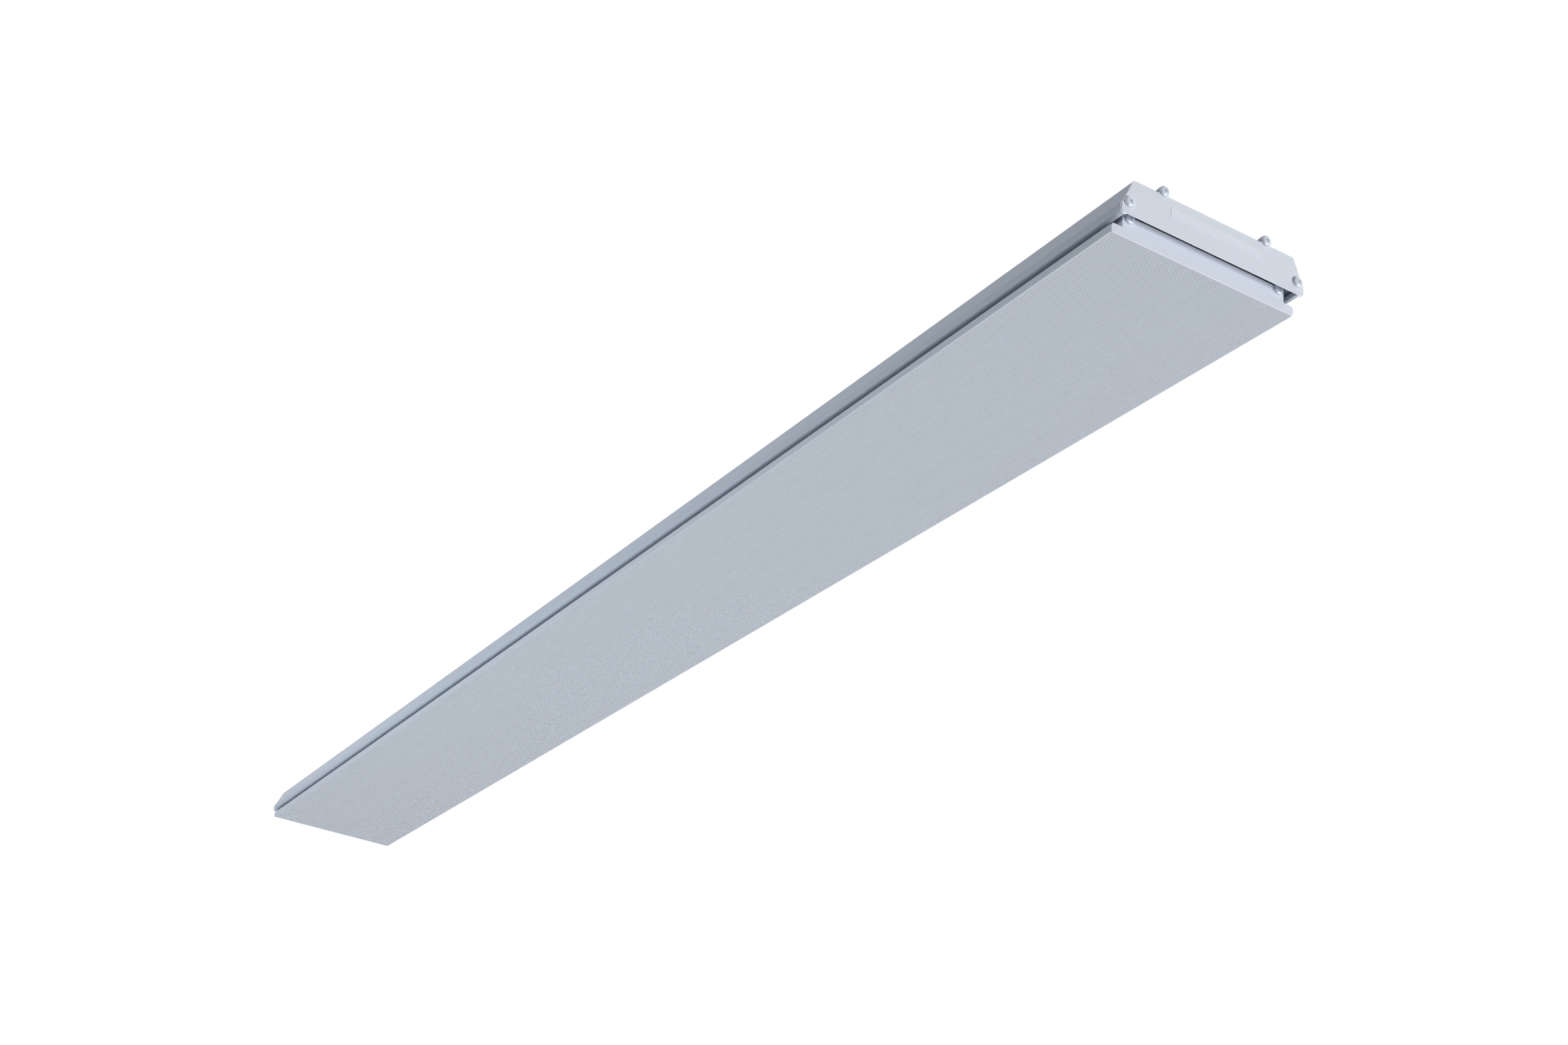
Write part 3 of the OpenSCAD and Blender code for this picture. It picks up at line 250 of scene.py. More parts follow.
def surface(slot, colour):
    """The node material of one slot, made once, beside the plain one that the frame brings."""
    name = slot + "_finish"
    made = bpy.data.materials.get(name)
    if made:
        return made
    made = bpy.data.materials.new(name)
    made.use_nodes = True
    tree = made.node_tree
    shader = tree.nodes["Principled BSDF"]
    look = LOOKS[slot]

    def add(kind, **sockets):
        node = tree.nodes.new("ShaderNode" + kind)
        for socket, value in sockets.items():
            node.inputs[socket.replace("_", " ")].default_value = value
        return node

    for socket, value in look["shader"].items():
        shader.inputs[socket].default_value = value
    spot = add("TexCoord").outputs["Object"]
    drawn = add("Mapping", Scale=look.get("grain", (1.0, 1.0, 1.0)))
    tree.links.new(spot, drawn.inputs["Vector"])

    def pattern(scale, detail):
        kind = look.get("pattern", "TexNoise")
        node = add(kind, Scale=scale)
        if kind == "TexNoise":
            node.inputs["Detail"].default_value = detail
            node.inputs["Roughness"].default_value = 0.55
            out = node.outputs["Fac"]
        else:
            out = node.outputs["Color"]
        tree.links.new(drawn.outputs["Vector"], node.inputs["Vector"])
        return out

    def between(source, first, last):
        node = add("MapRange", From_Min=NOISE_LOW, From_Max=NOISE_HIGH, To_Min=first, To_Max=last)
        tree.links.new(source, node.inputs["Value"])
        return node.outputs["Result"]

    broad = pattern(look["size"], 3.0)
    tone = tree.nodes.new("ShaderNodeMix")
    tone.data_type = "RGBA"
    darker, lighter, blended = tone.inputs[6], tone.inputs[7], tone.outputs[2]
    dark = look["tone"]
    darker.default_value = [c * dark for c in colour] + [1.0]
    lighter.default_value = [min(c * (2 - dark), 1.0) for c in colour] + [1.0]
    tree.links.new(between(broad, 0.0, 1.0), tone.inputs[0])
    tree.links.new(blended, shader.inputs["Base Color"])

    smears = add("TexNoise", Scale=look["size"] * SMEARS, Detail=4.0)
    tree.links.new(spot, smears.inputs["Vector"])
    tree.links.new(between(smears.outputs["Fac"], *look["rough"]), shader.inputs["Roughness"])

    relief = add("Bump", Strength=look.get("bump", USUAL_BUMP), Distance=look["relief"] * MM)
    tree.links.new(pattern(look["size"] * RELIEF, 2.0), relief.inputs["Height"])
    tree.links.new(relief.outputs["Normal"], shader.inputs["Normal"])
    return made


METAL = {"Metallic": 1.0}
# Of each finish: its pattern's scale, stretch and tone, its range of roughness, its relief in
# millimetres and the shader's other sockets
LOOKS = {
    "housing_aluminium": dict(size=700.0, grain=(0.015, 1.0, 1.0), tone=0.985, rough=(0.44, 0.52),
                              relief=0.01, shader={"Metallic": 0.04, "Specular IOR Level": 0.06}),
    "panel_aluminium": dict(size=260.0, grain=(0.01, 1.0, 1.0), tone=0.985, rough=(0.46, 0.54),
                            relief=0.008, shader={"Metallic": 0.12, "Specular IOR Level": 0.16}),
    "end_plate_paint": dict(size=900.0, tone=0.99, rough=(0.5, 0.58), relief=0.012,
                            shader={"Metallic": 0.05, "Specular IOR Level": 0.25}),
    "label_film": dict(size=300.0, tone=0.99, rough=(0.32, 0.4), relief=0.004, shader={}),
    "screw_steel": dict(size=1500.0, tone=0.97, rough=(0.3, 0.4), relief=0.008,
                        shader={"Metallic": 0.3}),
    "sheet_steel": dict(size=160.0, pattern="TexVoronoi", tone=0.93, rough=(0.34, 0.46),
                        relief=0.003, shader=METAL),
    "bracket_steel": dict(size=420.0, grain=(0.05, 1.0, 1.0), tone=0.96, rough=(0.4, 0.52),
                          relief=0.01, shader={"Metallic": 0.35, "Specular IOR Level": 0.3}),
    "element_steel": dict(size=120.0, tone=0.8, rough=(0.45, 0.6), relief=0.02, shader=METAL),
    "shield_aluminium": dict(size=500.0, grain=(0.02, 1.0, 1.0), tone=0.96, rough=(0.2, 0.3),
                             relief=0.004, shader=METAL),
    "plain_brass": dict(size=600.0, tone=0.93, rough=(0.28, 0.4), relief=0.01, shader=METAL),
    "plated_brass": dict(size=600.0, tone=0.97, rough=(0.24, 0.36), relief=0.004, shader=METAL),
    "ceramic": dict(size=500.0, tone=0.96, rough=(0.55, 0.7), relief=0.02, shader={}),
    "mineral_mat": dict(size=450.0, grain=(1.0, 0.25, 1.0), tone=0.82, rough=(0.9, 1.0), bump=0.9,
                        relief=0.35, shader={"Specular IOR Level": 0.1}),
    "block_plastic": dict(size=700.0, tone=0.98, rough=(0.42, 0.52), relief=0.01, shader={}),
    "cutout_plastic": dict(size=700.0, tone=0.9, rough=(0.3, 0.42), relief=0.01, shader={}),
    "seal_rubber": dict(size=900.0, tone=0.85, rough=(0.6, 0.75), relief=0.02, shader={}),
    "brown_sleeve": dict(size=800.0, tone=0.93, rough=(0.45, 0.6), relief=0.02, shader={}),
    "black_sleeve": dict(size=800.0, tone=0.9, rough=(0.45, 0.6), relief=0.02, shader={}),
    "blue_sleeve": dict(size=800.0, tone=0.93, rough=(0.45, 0.6), relief=0.02, shader={}),
    "green_sleeve": dict(size=800.0, tone=0.93, rough=(0.45, 0.6), relief=0.02, shader={}),
}


def finish_of(slot):
    """The finish of a slot, in the colour that the sidebar shows."""
    return surface(slot, getattr(bpy.context.scene.heater_finishes, slot))


# Making and joining shapes

def outline(bm, points, radii, segments):
    """A flat face through the points, each corner rounded to its radius."""
    verts = [bm.verts.new(point) for point in points]
    bm.faces.new(verts)
    reaches = {}
    for i, (vert, radius) in enumerate(zip(verts, radii)):
        if radius:
            back = verts[i - 1].co - vert.co
            on = verts[(i + 1) % len(verts)].co - vert.co
            reach = radius / math.tan(back.angle(on) / 2)
            reaches.setdefault(round(reach, 8), []).append(vert)
    for reach, corners in reaches.items():
        bmesh.ops.bevel(bm, geom=corners, offset=reach, offset_type="OFFSET", affect="VERTICES",
                        segments=segments, profile=0.5, material=-1)
    bm.faces.ensure_lookup_table()
    return bm.faces[-1]


def drawn_along(corners, start, end, segments=4, edge=0.0):
    """A bar with the cross-section of these (y, z, radius) corners, from start to end along X."""
    bm = bmesh.new()
    face = outline(bm, [(start, y, z) for y, z, _ in corners], [r for _, _, r in corners],
                   segments)
    swept = bmesh.ops.extrude_face_region(bm, geom=[face])["geom"]
    moved = [g for g in swept if isinstance(g, bmesh.types.BMVert)]
    bmesh.ops.translate(bm, verts=moved, vec=(end - start, 0, 0))
    if edge:
        rims = [e for e in bm.edges if abs(e.verts[0].co.x - e.verts[1].co.x) < MERGE]
        bmesh.ops.bevel(bm, geom=rims, offset=edge, affect="EDGES", segments=2, profile=0.5,
                        material=-1)
    return bm


def turned(corners, steps=48, foot=(0.0, 0.0, 0.0), segments=4):
    """(radius, height, rounding) corners spun round an upright axis through foot."""
    bm = bmesh.new()
    face = outline(bm, [(r, 0, z) for r, z, _ in corners], [k for _, _, k in corners], segments)
    bmesh.ops.delete(bm, geom=[face], context="FACES_ONLY")
    on_axis = [e for e in bm.edges if all(v.co.x < MERGE for v in e.verts)]
    bmesh.ops.delete(bm, geom=on_axis, context="EDGES")
    bmesh.ops.spin(bm, geom=bm.verts[:] + bm.edges[:], cent=(0, 0, 0), axis=(0, 0, 1),
                   dvec=(0, 0, 0), angle=math.tau, steps=steps, use_merge=True)
    bmesh.ops.remove_doubles(bm, verts=bm.verts, dist=MERGE)
    bmesh.ops.translate(bm, verts=bm.verts, vec=foot)
    return bm


def prism(sides, radius, bottom, top, foot=(0.0, 0.0, 0.0), turn=0.0):
    """An upright prism with that many sides, such as a nut's hexagon."""
    bm = bmesh.new()
    bmesh.ops.create_cone(bm, cap_ends=True, segments=sides, radius1=radius, radius2=radius,
                          depth=top - bottom)
    bmesh.ops.rotate(bm, verts=bm.verts, cent=(0, 0, 0), matrix=Matrix.Rotation(turn, 3, "Z"))
    bmesh.ops.translate(bm, verts=bm.verts, vec=Vector(foot) + Vector((0, 0, (bottom + top) / 2)))
    return bm


def block(low_corner, high_corner, rounding=0.0, axis=2):
    """A box, with the edges along one axis rounded."""
    bm = bmesh.new()
    bmesh.ops.create_cube(bm, size=1.0)
    lowest, highest = Vector(low_corner), Vector(high_corner)
    bmesh.ops.scale(bm, verts=bm.verts, vec=highest - lowest)
    bmesh.ops.translate(bm, verts=bm.verts, vec=(lowest + highest) / 2)
    if rounding:
        picked = [e for e in bm.edges
                  if abs((e.verts[0].co - e.verts[1].co).normalized()[axis]) > 0.5]
        bmesh.ops.bevel(bm, geom=picked, offset=rounding, affect="EDGES", segments=8, profile=0.5,
                        material=-1)
    return bm


def gather(bm, other, place=Matrix.Identity(4)):
    """Adds a copy of another bmesh, moved to its place."""
    mesh = bpy.data.meshes.new("copy")
    other.to_mesh(mesh)
    mesh.transform(place)
    bm.from_mesh(mesh)
    bpy.data.meshes.remove(mesh)


def joined(bm, tool, operation="DIFFERENCE"):
    """The bmesh cut by, or joined with, another closed one. Both are used up."""
    pair = []
    for shape in (bm, tool):
        bmesh.ops.recalc_face_normals(shape, faces=shape.faces)
        mesh = bpy.data.meshes.new("work")
        shape.to_mesh(mesh)
        shape.free()
        pair.append(bpy.data.objects.new("work", mesh))
        bpy.context.scene.collection.objects.link(pair[-1])
    work, cutter = pair
    modifier = work.modifiers.new("join", "BOOLEAN")
    modifier.operation = operation
    modifier.solver = "EXACT"
    modifier.object = cutter
    evaluated = work.evaluated_get(bpy.context.evaluated_depsgraph_get())
    result = bmesh.new()
    result.from_mesh(evaluated.to_mesh())
    evaluated.to_mesh_clear()
    for item in pair:
        mesh = item.data
        bpy.data.objects.remove(item)
        bpy.data.meshes.remove(mesh)
    bmesh.ops.remove_doubles(result, verts=result.verts, dist=MERGE)
    return result


def piece(name, bm, slot, body="heater", stands_for=(), sharp=32.0):
    """Turns a bmesh into a finished piece of the heater."""
    bmesh.ops.recalc_face_normals(bm, faces=bm.faces)
    limit = math.radians(sharp)
    for face in bm.faces:
        face.smooth = True
    for edge in bm.edges:
        edge.smooth = edge.calc_face_angle(math.pi) < limit
    mesh = bpy.data.meshes.new(name)
    bm.to_mesh(mesh)
    bm.free()
    made = bpy.data.objects.new(name, mesh)
    bpy.context.scene.collection.objects.link(made)
    mesh.materials.append(finish_of(slot))
    flatter = made.modifiers.new("even_faces", "WEIGHTED_NORMAL")
    flatter.keep_sharp = True
    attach(made, body)
    if stands_for:
        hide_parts(*stands_for)
    return made


def mirrored(half):
    """A half outline followed by its own mirror image, in running order."""
    return half + [(-y, z, r) for y, z, r in reversed(half)]


def port(y, z, radius, bore, slot, up):
    """Corners of a round screw port whose bore opens through a slot, upwards or downwards."""
    def at_slot(r, turn):
        return r * math.sin(turn) + (r * math.cos(turn) - slot / 2) / math.tan(turn)

    outer, inner = math.radians(70), math.radians(60)
    half = [
        (radius, radius * math.tan(outer / 2), radius * BORE_ARC),
        (slot / 2, at_slot(radius, outer), 0.0),
        (slot / 2, at_slot(bore, inner), 0.0),
        (bore, bore * math.tan(inner / 2), bore * BORE_ARC),
        (bore, -bore, bore * BORE_ARC),
    ]
    corners = [(y + a, z + up * b, r) for a, b, r in half]
    corners += [(y - a, z + up * b, r) for a, b, r in reversed(half)]
    return corners if up > 0 else corners[::-1]


def web_corner(s):
    """Where the outside of a screw port meets the web that carries it."""
    drop = 2 * MM
    return s.port_y + math.sqrt(s.port_radius ** 2 - drop ** 2), s.port_z - drop


# The housing and its end plates

def housing_side(s, base):
    """The outside of the housing's right half, from its lower edge to the flat back."""
    step_round, back_round = 1 * MM, 2.5 * MM
    return [
        (s.side, base, s.lower_corner), (s.side, s.shoulder, step_round),
        (s.side - s.step, s.shoulder + s.step, step_round), (s.half_top, s.top, back_round),
    ]


def housing_section(s):
    """The housing's cross-section: its outside, then the inside with shelves and ports."""
    lip_edge = s.side - s.lip
    roof = s.top - s.wall
    lean = (s.half_top - s.side + s.step) / (s.top - s.shoulder - s.step)
    port_top = s.port_z + s.port_radius
    shelf_top = s.port_z + s.wall
    side_foot = port_top + 0.1 * MM
    port_flat, port_cheek, cheek_round = 1.6 * MM, 2.6 * MM, 2.6 * MM
    web_y, web = web_corner(s)
    lip_top, return_top = s.lip_base + s.wall, s.lip_base + s.lip_return
    roof_round, side_round, return_foot = 0.9 * MM, 1.4 * MM, 0.15 * MM

    def inside(z):
        outer = s.side - s.step + lean * (z - s.shoulder - s.step)
        return outer - s.wall * math.hypot(1, lean)

    outer_half = [(lip_edge, s.lip_base, FINE), *housing_side(s, s.lip_base),
                  (s.rail_y + s.rail_radius, s.top, FINE)]
    outer_half += port(s.rail_y, s.rail_z, s.rail_radius, s.bore, s.slot, 1)
    groove = s.rail_y - s.rail_radius
    outer_half += [(groove, s.top + s.groove_height, HAIR),
                   (groove + s.groove_depth, s.top + s.groove_height, 0.0),
                   (groove + s.groove_depth, s.top, 0.0)]
    inner_half = [
        (inside(roof), roof, roof_round), (inside(side_foot), side_foot, HAIR),
        (s.port_y - port_flat, port_top, cheek_round), (s.port_y - port_cheek, shelf_top, 0.0),
        (s.shelf_edge, shelf_top, FINE), (s.shelf_edge, s.port_z, FINE),
        (s.port_y - s.port_radius, s.port_z, 0.0),
    ]
    inner_half += port(s.port_y, s.port_z, s.port_radius, s.bore, s.slot, -1)[:-1]
    inner_half += [
        (web_y, web, HAIR), (s.side - s.wall, web, SOFT),
        (s.side - s.wall, lip_top, side_round), (lip_edge + s.return_wall, lip_top, return_foot),
        (lip_edge + s.return_wall, return_top, SOFT), (lip_edge, return_top, SOFT),
    ]
    inner_loop = [(-y, z, r) for y, z, r in reversed(inner_half)] + inner_half
    return mirrored(outer_half) + inner_loop


def shaped_plate(corners, inner_x, outer_x, edge):
    """A plate between two places along X, with the mirrored outline of these corners."""
    return drawn_along(mirrored(corners), inner_x, outer_x, segments=5, edge=edge)


class HEATER_OT_housing(bpy.types.Operator):
    """Extruded housing with its rails, shelves and screw ports"""
    bl_idname = "heater.housing"
    bl_label = "Housing"

    def execute(self, context):
        s, trim = context.scene.heater_housing, context.scene.heater_trim
        shell = drawn_along(housing_section(s), -s.end, s.end)
        gland_hole, centre_hole, tray_hole = 10.1 * MM, 2.6 * MM, 2.1 * MM
        reach = 4 * MM
        holes = [(trim.gland_x, 0, gland_hole), (0, 0, centre_hole),
                 (trim.tray_x, trim.tray_y, tray_hole), (trim.tray_x, -trim.tray_y, tray_hole)]
        for x, y, radius in holes:
            drill = prism(DRILL_SIDES, radius, s.top - reach, s.top + reach, (x, y, 0))
            shell = joined(shell, drill)
        piece("housing_shell", shell, "housing_aluminium", stands_for=["housing"])
        return {"FINISHED"}


class HEATER_OT_end_plates(bpy.types.Operator):
    """End plates with their ears, and the blank label"""
    bl_idname = "heater.end_plates"
    bl_label = "End plates"

    def execute(self, context):
        s, trim = context.scene.heater_housing, context.scene.heater_trim
        ear_top, ear_round = s.rail_z + trim.ear, trim.ear * SLOT_ARC
        ear = [(s.rail_y + trim.ear, s.top, BLUNT), (s.rail_y + trim.ear, ear_top, ear_round),
               (s.rail_y - trim.ear, ear_top, ear_round), (s.rail_y - trim.ear, s.top, BLUNT)]
        corners = housing_side(s, s.base) + ear
        mouth = s.side - s.lip
        for end in ("terminal", "plain"):
            node = end + "_end_plate"
            inner, outer = sorted((low(node).x * MM, high(node).x * MM), key=abs)
            plate = shaped_plate(corners, inner, outer, trim.edge)
            back, front = sorted((inner - math.copysign(EXTRA, inner),
                                  outer - math.copysign(trim.thin_edge, outer)))
            relief = block((back, -mouth, s.base - EXTRA),
                           (front, mouth, s.base + trim.relief))
            piece(end + "_end_cover", joined(plate, relief), "end_plate_paint", stands_for=[node])
        start, end = low("blank_label") * MM, high("blank_label") * MM
        label_corner = 1 * MM
        label = block(start, end, label_corner, axis=0)
        piece("label_film", label, "label_film", stands_for=["blank_label"])
        return {"FINISHED"}


# The radiant panel and its caps

def panel_section(s):
    """The panel's cross-section: the ribs below, then lips, upstands and cap screw ports."""
    mouth = s.rib_pitch - s.rib_crest
    ribs = []
    for i in range(s.grooves):
        y = (i - (s.grooves - 1) / 2) * s.rib_pitch
        ribs += [(y - mouth / 2, 0.0, s.rib_rounding),
                 (y - s.groove_floor / 2, s.rib_depth, s.rib_rounding),
                 (y + s.groove_floor / 2, s.rib_depth, s.rib_rounding),
                 (y + mouth / 2, 0.0, s.rib_rounding)]
    under = s.upstand_top - s.wall
    port_cheek, cheek_rise, cheek_round = 2.82 * MM, 1.04 * MM, 2.6 * MM
    web_y, web = web_corner(s)
    lip_foot, upstand_foot, upstand_round = 0.8 * MM, 0.6 * MM, 1 * MM
    upper = [
        (s.side, s.lip, BLUNT), (s.side - s.wall, s.lip, SOFT),
        (s.side - s.wall, s.plate, lip_foot), (s.upstand, s.plate, upstand_foot),
        (s.upstand, s.upstand_top, upstand_round), (s.flange, s.upstand_top, FINE),
        (s.flange, under, FINE), (s.port_y - port_cheek, under, 0.0),
        (s.port_y - s.port_radius, s.port_z + cheek_rise, cheek_round),
    ]
    upper += port(s.port_y, s.port_z, s.port_radius, s.bore, s.slot, -1)[:-1]
    upper += [
        (web_y, web, HAIR), (s.upstand - s.wall, web, FINE),
        (s.upstand - s.wall, s.plate, upstand_foot),
    ]
    lower = [(-s.side, 0.0, s.lower_corner), *ribs, (s.side, 0.0, s.lower_corner)]
    return lower + mirrored(upper)


class HEATER_OT_radiant_panel(bpy.types.Operator):
    """Ribbed radiant panel with its upstands and element channels"""
    bl_idname = "heater.radiant_panel"
    bl_label = "Radiant panel"

    def execute(self, context):
        s = context.scene.heater_panel
        panel = drawn_along(panel_section(s), -s.end, s.end, segments=3)
        half = s.channel / 2
        root = s.plate - 0.5 * MM
        mouth, bed, seat = 3.9 * MM, 4.1 * MM, 3.2 * MM
        throat = s.channel_top - 1 * MM
        channel = [(-half, root, 0), (half, root, 0), (half, s.channel_top, SOFT),
                   (mouth, s.channel_top, HAIR), (bed, throat, SOFT),
                   (bed, seat, bed * BORE_ARC), (-bed, seat, bed * BORE_ARC),
                   (-bed, throat, SOFT), (-mouth, s.channel_top, HAIR),
                   (-half, s.channel_top, SOFT)]
        rail_half, rail_top = 4.5 * MM, 11.3 * MM
        groove_half, groove_floor = 1.7 * MM, 4.5 * MM
        rail = [(-rail_half, root, 0), (rail_half, root, 0), (rail_half, rail_top, SOFT),
                (groove_half, rail_top, HAIR), (groove_half, groove_floor, HAIR),
                (-groove_half, groove_floor, HAIR), (-groove_half, rail_top, HAIR),
                (-rail_half, rail_top, SOFT)]
        for y, corners in ((-s.leg_y, channel), (0.0, rail), (s.leg_y, channel)):
            placed = [(y + a, z, r) for a, z, r in corners]
            panel = joined(panel, drawn_along(placed, s.channel_start, s.channel_end), "UNION")
        piece("ribbed_panel", panel, "panel_aluminium", stands_for=["radiant_panel"])
        return {"FINISHED"}


class HEATER_OT_panel_caps(bpy.types.Operator):
    """Caps on the panel's two ends"""
    bl_idname = "heater.panel_caps"
    bl_label = "Panel caps"

    def execute(self, context):
        s, trim = context.scene.heater_panel, context.scene.heater_trim
        for end in ("terminal", "plain"):
            node = end + "_panel_cap"
            corners = [(s.side, 0.0, s.cap_lower_corner), (s.side, s.cap_lip, s.cap_side_corner),
                       (s.upstand, s.cap_lip, BLUNT),
                       (s.upstand, high(node).z * MM, s.cap_upper_corner)]
            faces = sorted((low(node).x * MM, high(node).x * MM), key=abs)
            cap = shaped_plate(corners, *faces, trim.edge)
            piece(end + "_cap_cover", cap, "end_plate_paint", stands_for=[node])
        return {"FINISHED"}


# Screws

def pan_screw(head, rise, shank, length):
    """A cross-recessed pan-head screw, head up, with its seat at the origin."""
    shoulder, dome = rise * 0.88, rise * 0.62
    screw = turned([(0, -length, 0), (shank, -length, SOFT), (shank, 0, 0), (head, 0, HAIR),
                    (head, shoulder, dome), (0, rise, 0)], steps=40)
    arm, reach = shank * 0.2, head * 0.4
    above, depth, taper = rise * 1.05, rise * 0.4, 0.55
    cross = bmesh.new()
    quarter = [(reach, -arm), (reach, arm), (arm, arm)]
    points = [Matrix.Rotation(math.pi / 2 * k, 2) @ Vector(p) for k in range(4) for p in quarter]
    face = outline(cross, [(p.x, p.y, above) for p in points], [0] * len(points), 1)
    swept = bmesh.ops.extrude_face_region(cross, geom=[face])["geom"]
    floor = [g for g in swept if isinstance(g, bmesh.types.BMVert)]
    bmesh.ops.translate(cross, verts=floor, vec=(0, 0, -depth))
    bmesh.ops.scale(cross, verts=floor, vec=(taper, taper, 1))
    return joined(screw, cross)


def outer_face(node, side):
    """Where the outer face of an end plate or a cap lies along X."""
    return side * max(abs(low(node).x), abs(high(node).x)) * MM


def screw_group(name, node, seats, screw):
    """Copies of one screw, each at its own seat, facing and turned its own way."""
    group = bmesh.new()
    first_turn, next_turn = 17, 47
    for number, (seat, facing) in enumerate(seats):
        turn = Matrix.Rotation(math.radians(first_turn + next_turn * number), 4, "Z")
        facing = Vector((0, 0, 1)).rotation_difference(Vector(facing)).to_matrix().to_4x4()
        gather(group, screw, Matrix.Translation(seat) @ facing @ turn)
    piece(name, group, "screw_steel", stands_for=[node])


class HEATER_OT_screws(bpy.types.Operator):
    """Pan-head screws of the end plates, the panel caps and the flat back"""
    bl_idname = "heater.screws"
    bl_label = "Screws"

    def execute(self, context):
        scene = context.scene
        s, panel, trim = scene.heater_housing, scene.heater_panel, scene.heater_trim
        screw = pan_screw(trim.screw_head, trim.screw_rise, trim.screw_shank, trim.screw_length)
        for end, side in (("terminal", 1), ("plain", -1)):
            plate_face = outer_face(end + "_end_plate", side)
            cap_face = outer_face(end + "_panel_cap", side)
            outward = (side, 0, 0)
            plate_seats = [((plate_face, y, z), outward)
                           for y, z in ((s.rail_y, s.rail_z), (-s.rail_y, s.rail_z),
                                        (s.port_y, s.port_z), (-s.port_y, s.port_z))]
            cap_seats = [((cap_face, y, panel.port_z), outward)
                         for y in (panel.port_y, -panel.port_y)]
            screw_group(end + "_plate_pan_screws", end + "_end_plate_screws", plate_seats, screw)
            screw_group(end + "_cap_pan_screws", end + "_panel_cap_screws", cap_seats, screw)
        screw.free()
        upright = (0, 0, 1)
        tray = pan_screw(*TRAY_SCREW)
        tray_seats = [((trim.tray_x, y, s.top), upright) for y in (trim.tray_y, -trim.tray_y)]
        screw_group("tray_pan_screws", "tray_screws", tray_seats, tray)
        tray.free()
        centre = pan_screw(*CENTRE_SCREW)
        screw_group("centre_pan_screw", "centre_screw", [((0, 0, s.top), upright)], centre)
        centre.free()
        return {"FINISHED"}


# Brackets and their lock screws

def hexagon(flats, bottom, top, foot):
    """A hexagon with the round chamfer of a turned nut."""
    half = flats / 2
    corner = half / math.cos(math.pi / 6)
    chamfer, face = (corner - half) * 0.6, half * 0.98
    blank = prism(6, corner, bottom, top, foot)
    barrel = turned([(0, bottom, 0), (face, bottom, 0), (corner, bottom + chamfer, 0),
                     (corner, top - chamfer, 0), (face, top, 0), (0, top, 0)], foot=foot)
    return joined(blank, barrel, "INTERSECT")


def threaded(radius, pitch, bottom, top, foot):
    """A shank with a thread's crests and roots."""
    turns = int((top - bottom) / pitch)
    depth, crest, root = pitch * 0.5, pitch * 0.5, pitch * 0.95
    corners = [(0, bottom, 0), (radius - depth, bottom, 0)]
    for i in range(turns):
        start = bottom + i * pitch
        corners += [(radius, start + crest, 0), (radius - depth, start + root, 0)]
    corners += [(radius - depth, top, 0), (0, top, 0)]
    return turned(corners, steps=24, foot=foot)


class HEATER_OT_brackets(bpy.types.Operator):
    """Two ceiling brackets that slide along the rails"""
    bl_idname = "heater.brackets"
    bl_label = "Brackets"

    def execute(self, context):
        trim = context.scene.heater_trim
        sheet, leg, reach = trim.bracket_sheet, 30 * MM, 3 * MM
        lock_hole, drill_below, drill_above = 2.6 * MM, 2 * MM, 4 * MM
        for end, side in (("terminal", 1), ("plain", -1)):
            node = end + "_bracket"
            start, stop = low(node) * MM, high(node) * MM
            outside = [(stop.y, start.z, FINE), (stop.y, start.z + sheet, FINE),
                       (leg, start.z + sheet, sheet), (leg, stop.z, 2 * sheet)]
            inside = [(leg - sheet, stop.z - sheet, sheet), (leg - sheet, start.z, 2 * sheet)]
            loop = mirrored(outside) + [(-y, z, r) for y, z, r in reversed(inside)] + inside
            hat = drawn_along(loop, start.x, stop.x, segments=6, edge=HAIR)
            x = side * trim.bracket_x
            for y in (-trim.slot_y, trim.slot_y):
                half = Vector((trim.slot_width / 2, trim.slot_length / 2, 0))
                centre = Vector((x, y, 0))
                cutter = block(centre - half + Vector((0, 0, stop.z - reach)),
                               centre + half + Vector((0, 0, stop.z + reach)),
                               trim.slot_width / 2 * SLOT_ARC)
                hat = joined(hat, cutter)
            drill = prism(DRILL_SIDES, lock_hole, start.z - drill_below, start.z + drill_above,
                          (x, trim.lock_y, 0))
            hat = joined(hat, drill)
            piece(end + "_ceiling_bracket", hat, "bracket_steel", node + "_body", [node])
        return {"FINISHED"}


class HEATER_OT_bracket_locks(bpy.types.Operator):
    """Lock screws that hold the brackets on the rails"""
    bl_idname = "heater.bracket_locks"
    bl_label = "Bracket locks"

    def execute(self, context):
        trim = context.scene.heater_trim
        shank, pitch, flats, head = 2.5 * MM, 0.8 * MM, 8 * MM, 3.5 * MM
        shank_end = 3 * MM  # below the head's top, so the thread runs into the head
        nut_low, nut_high = 41.65 * MM, 45.65 * MM
        for end, side in (("terminal", 1), ("plain", -1)):
            node = end + "_bracket_lock"
            start, stop = low(node).z * MM, high(node).z * MM
            foot = (side * trim.bracket_x, trim.lock_y, 0)
            lock = threaded(shank, pitch, start, stop - shank_end, foot)
            gather(lock, hexagon(flats, nut_low, nut_high, foot))
            gather(lock, hexagon(flats, stop - head, stop, foot))
            piece(end + "_lock_screw", lock, "screw_steel", end + "_bracket_body", [node])
        return {"FINISHED"}


# The cable gland

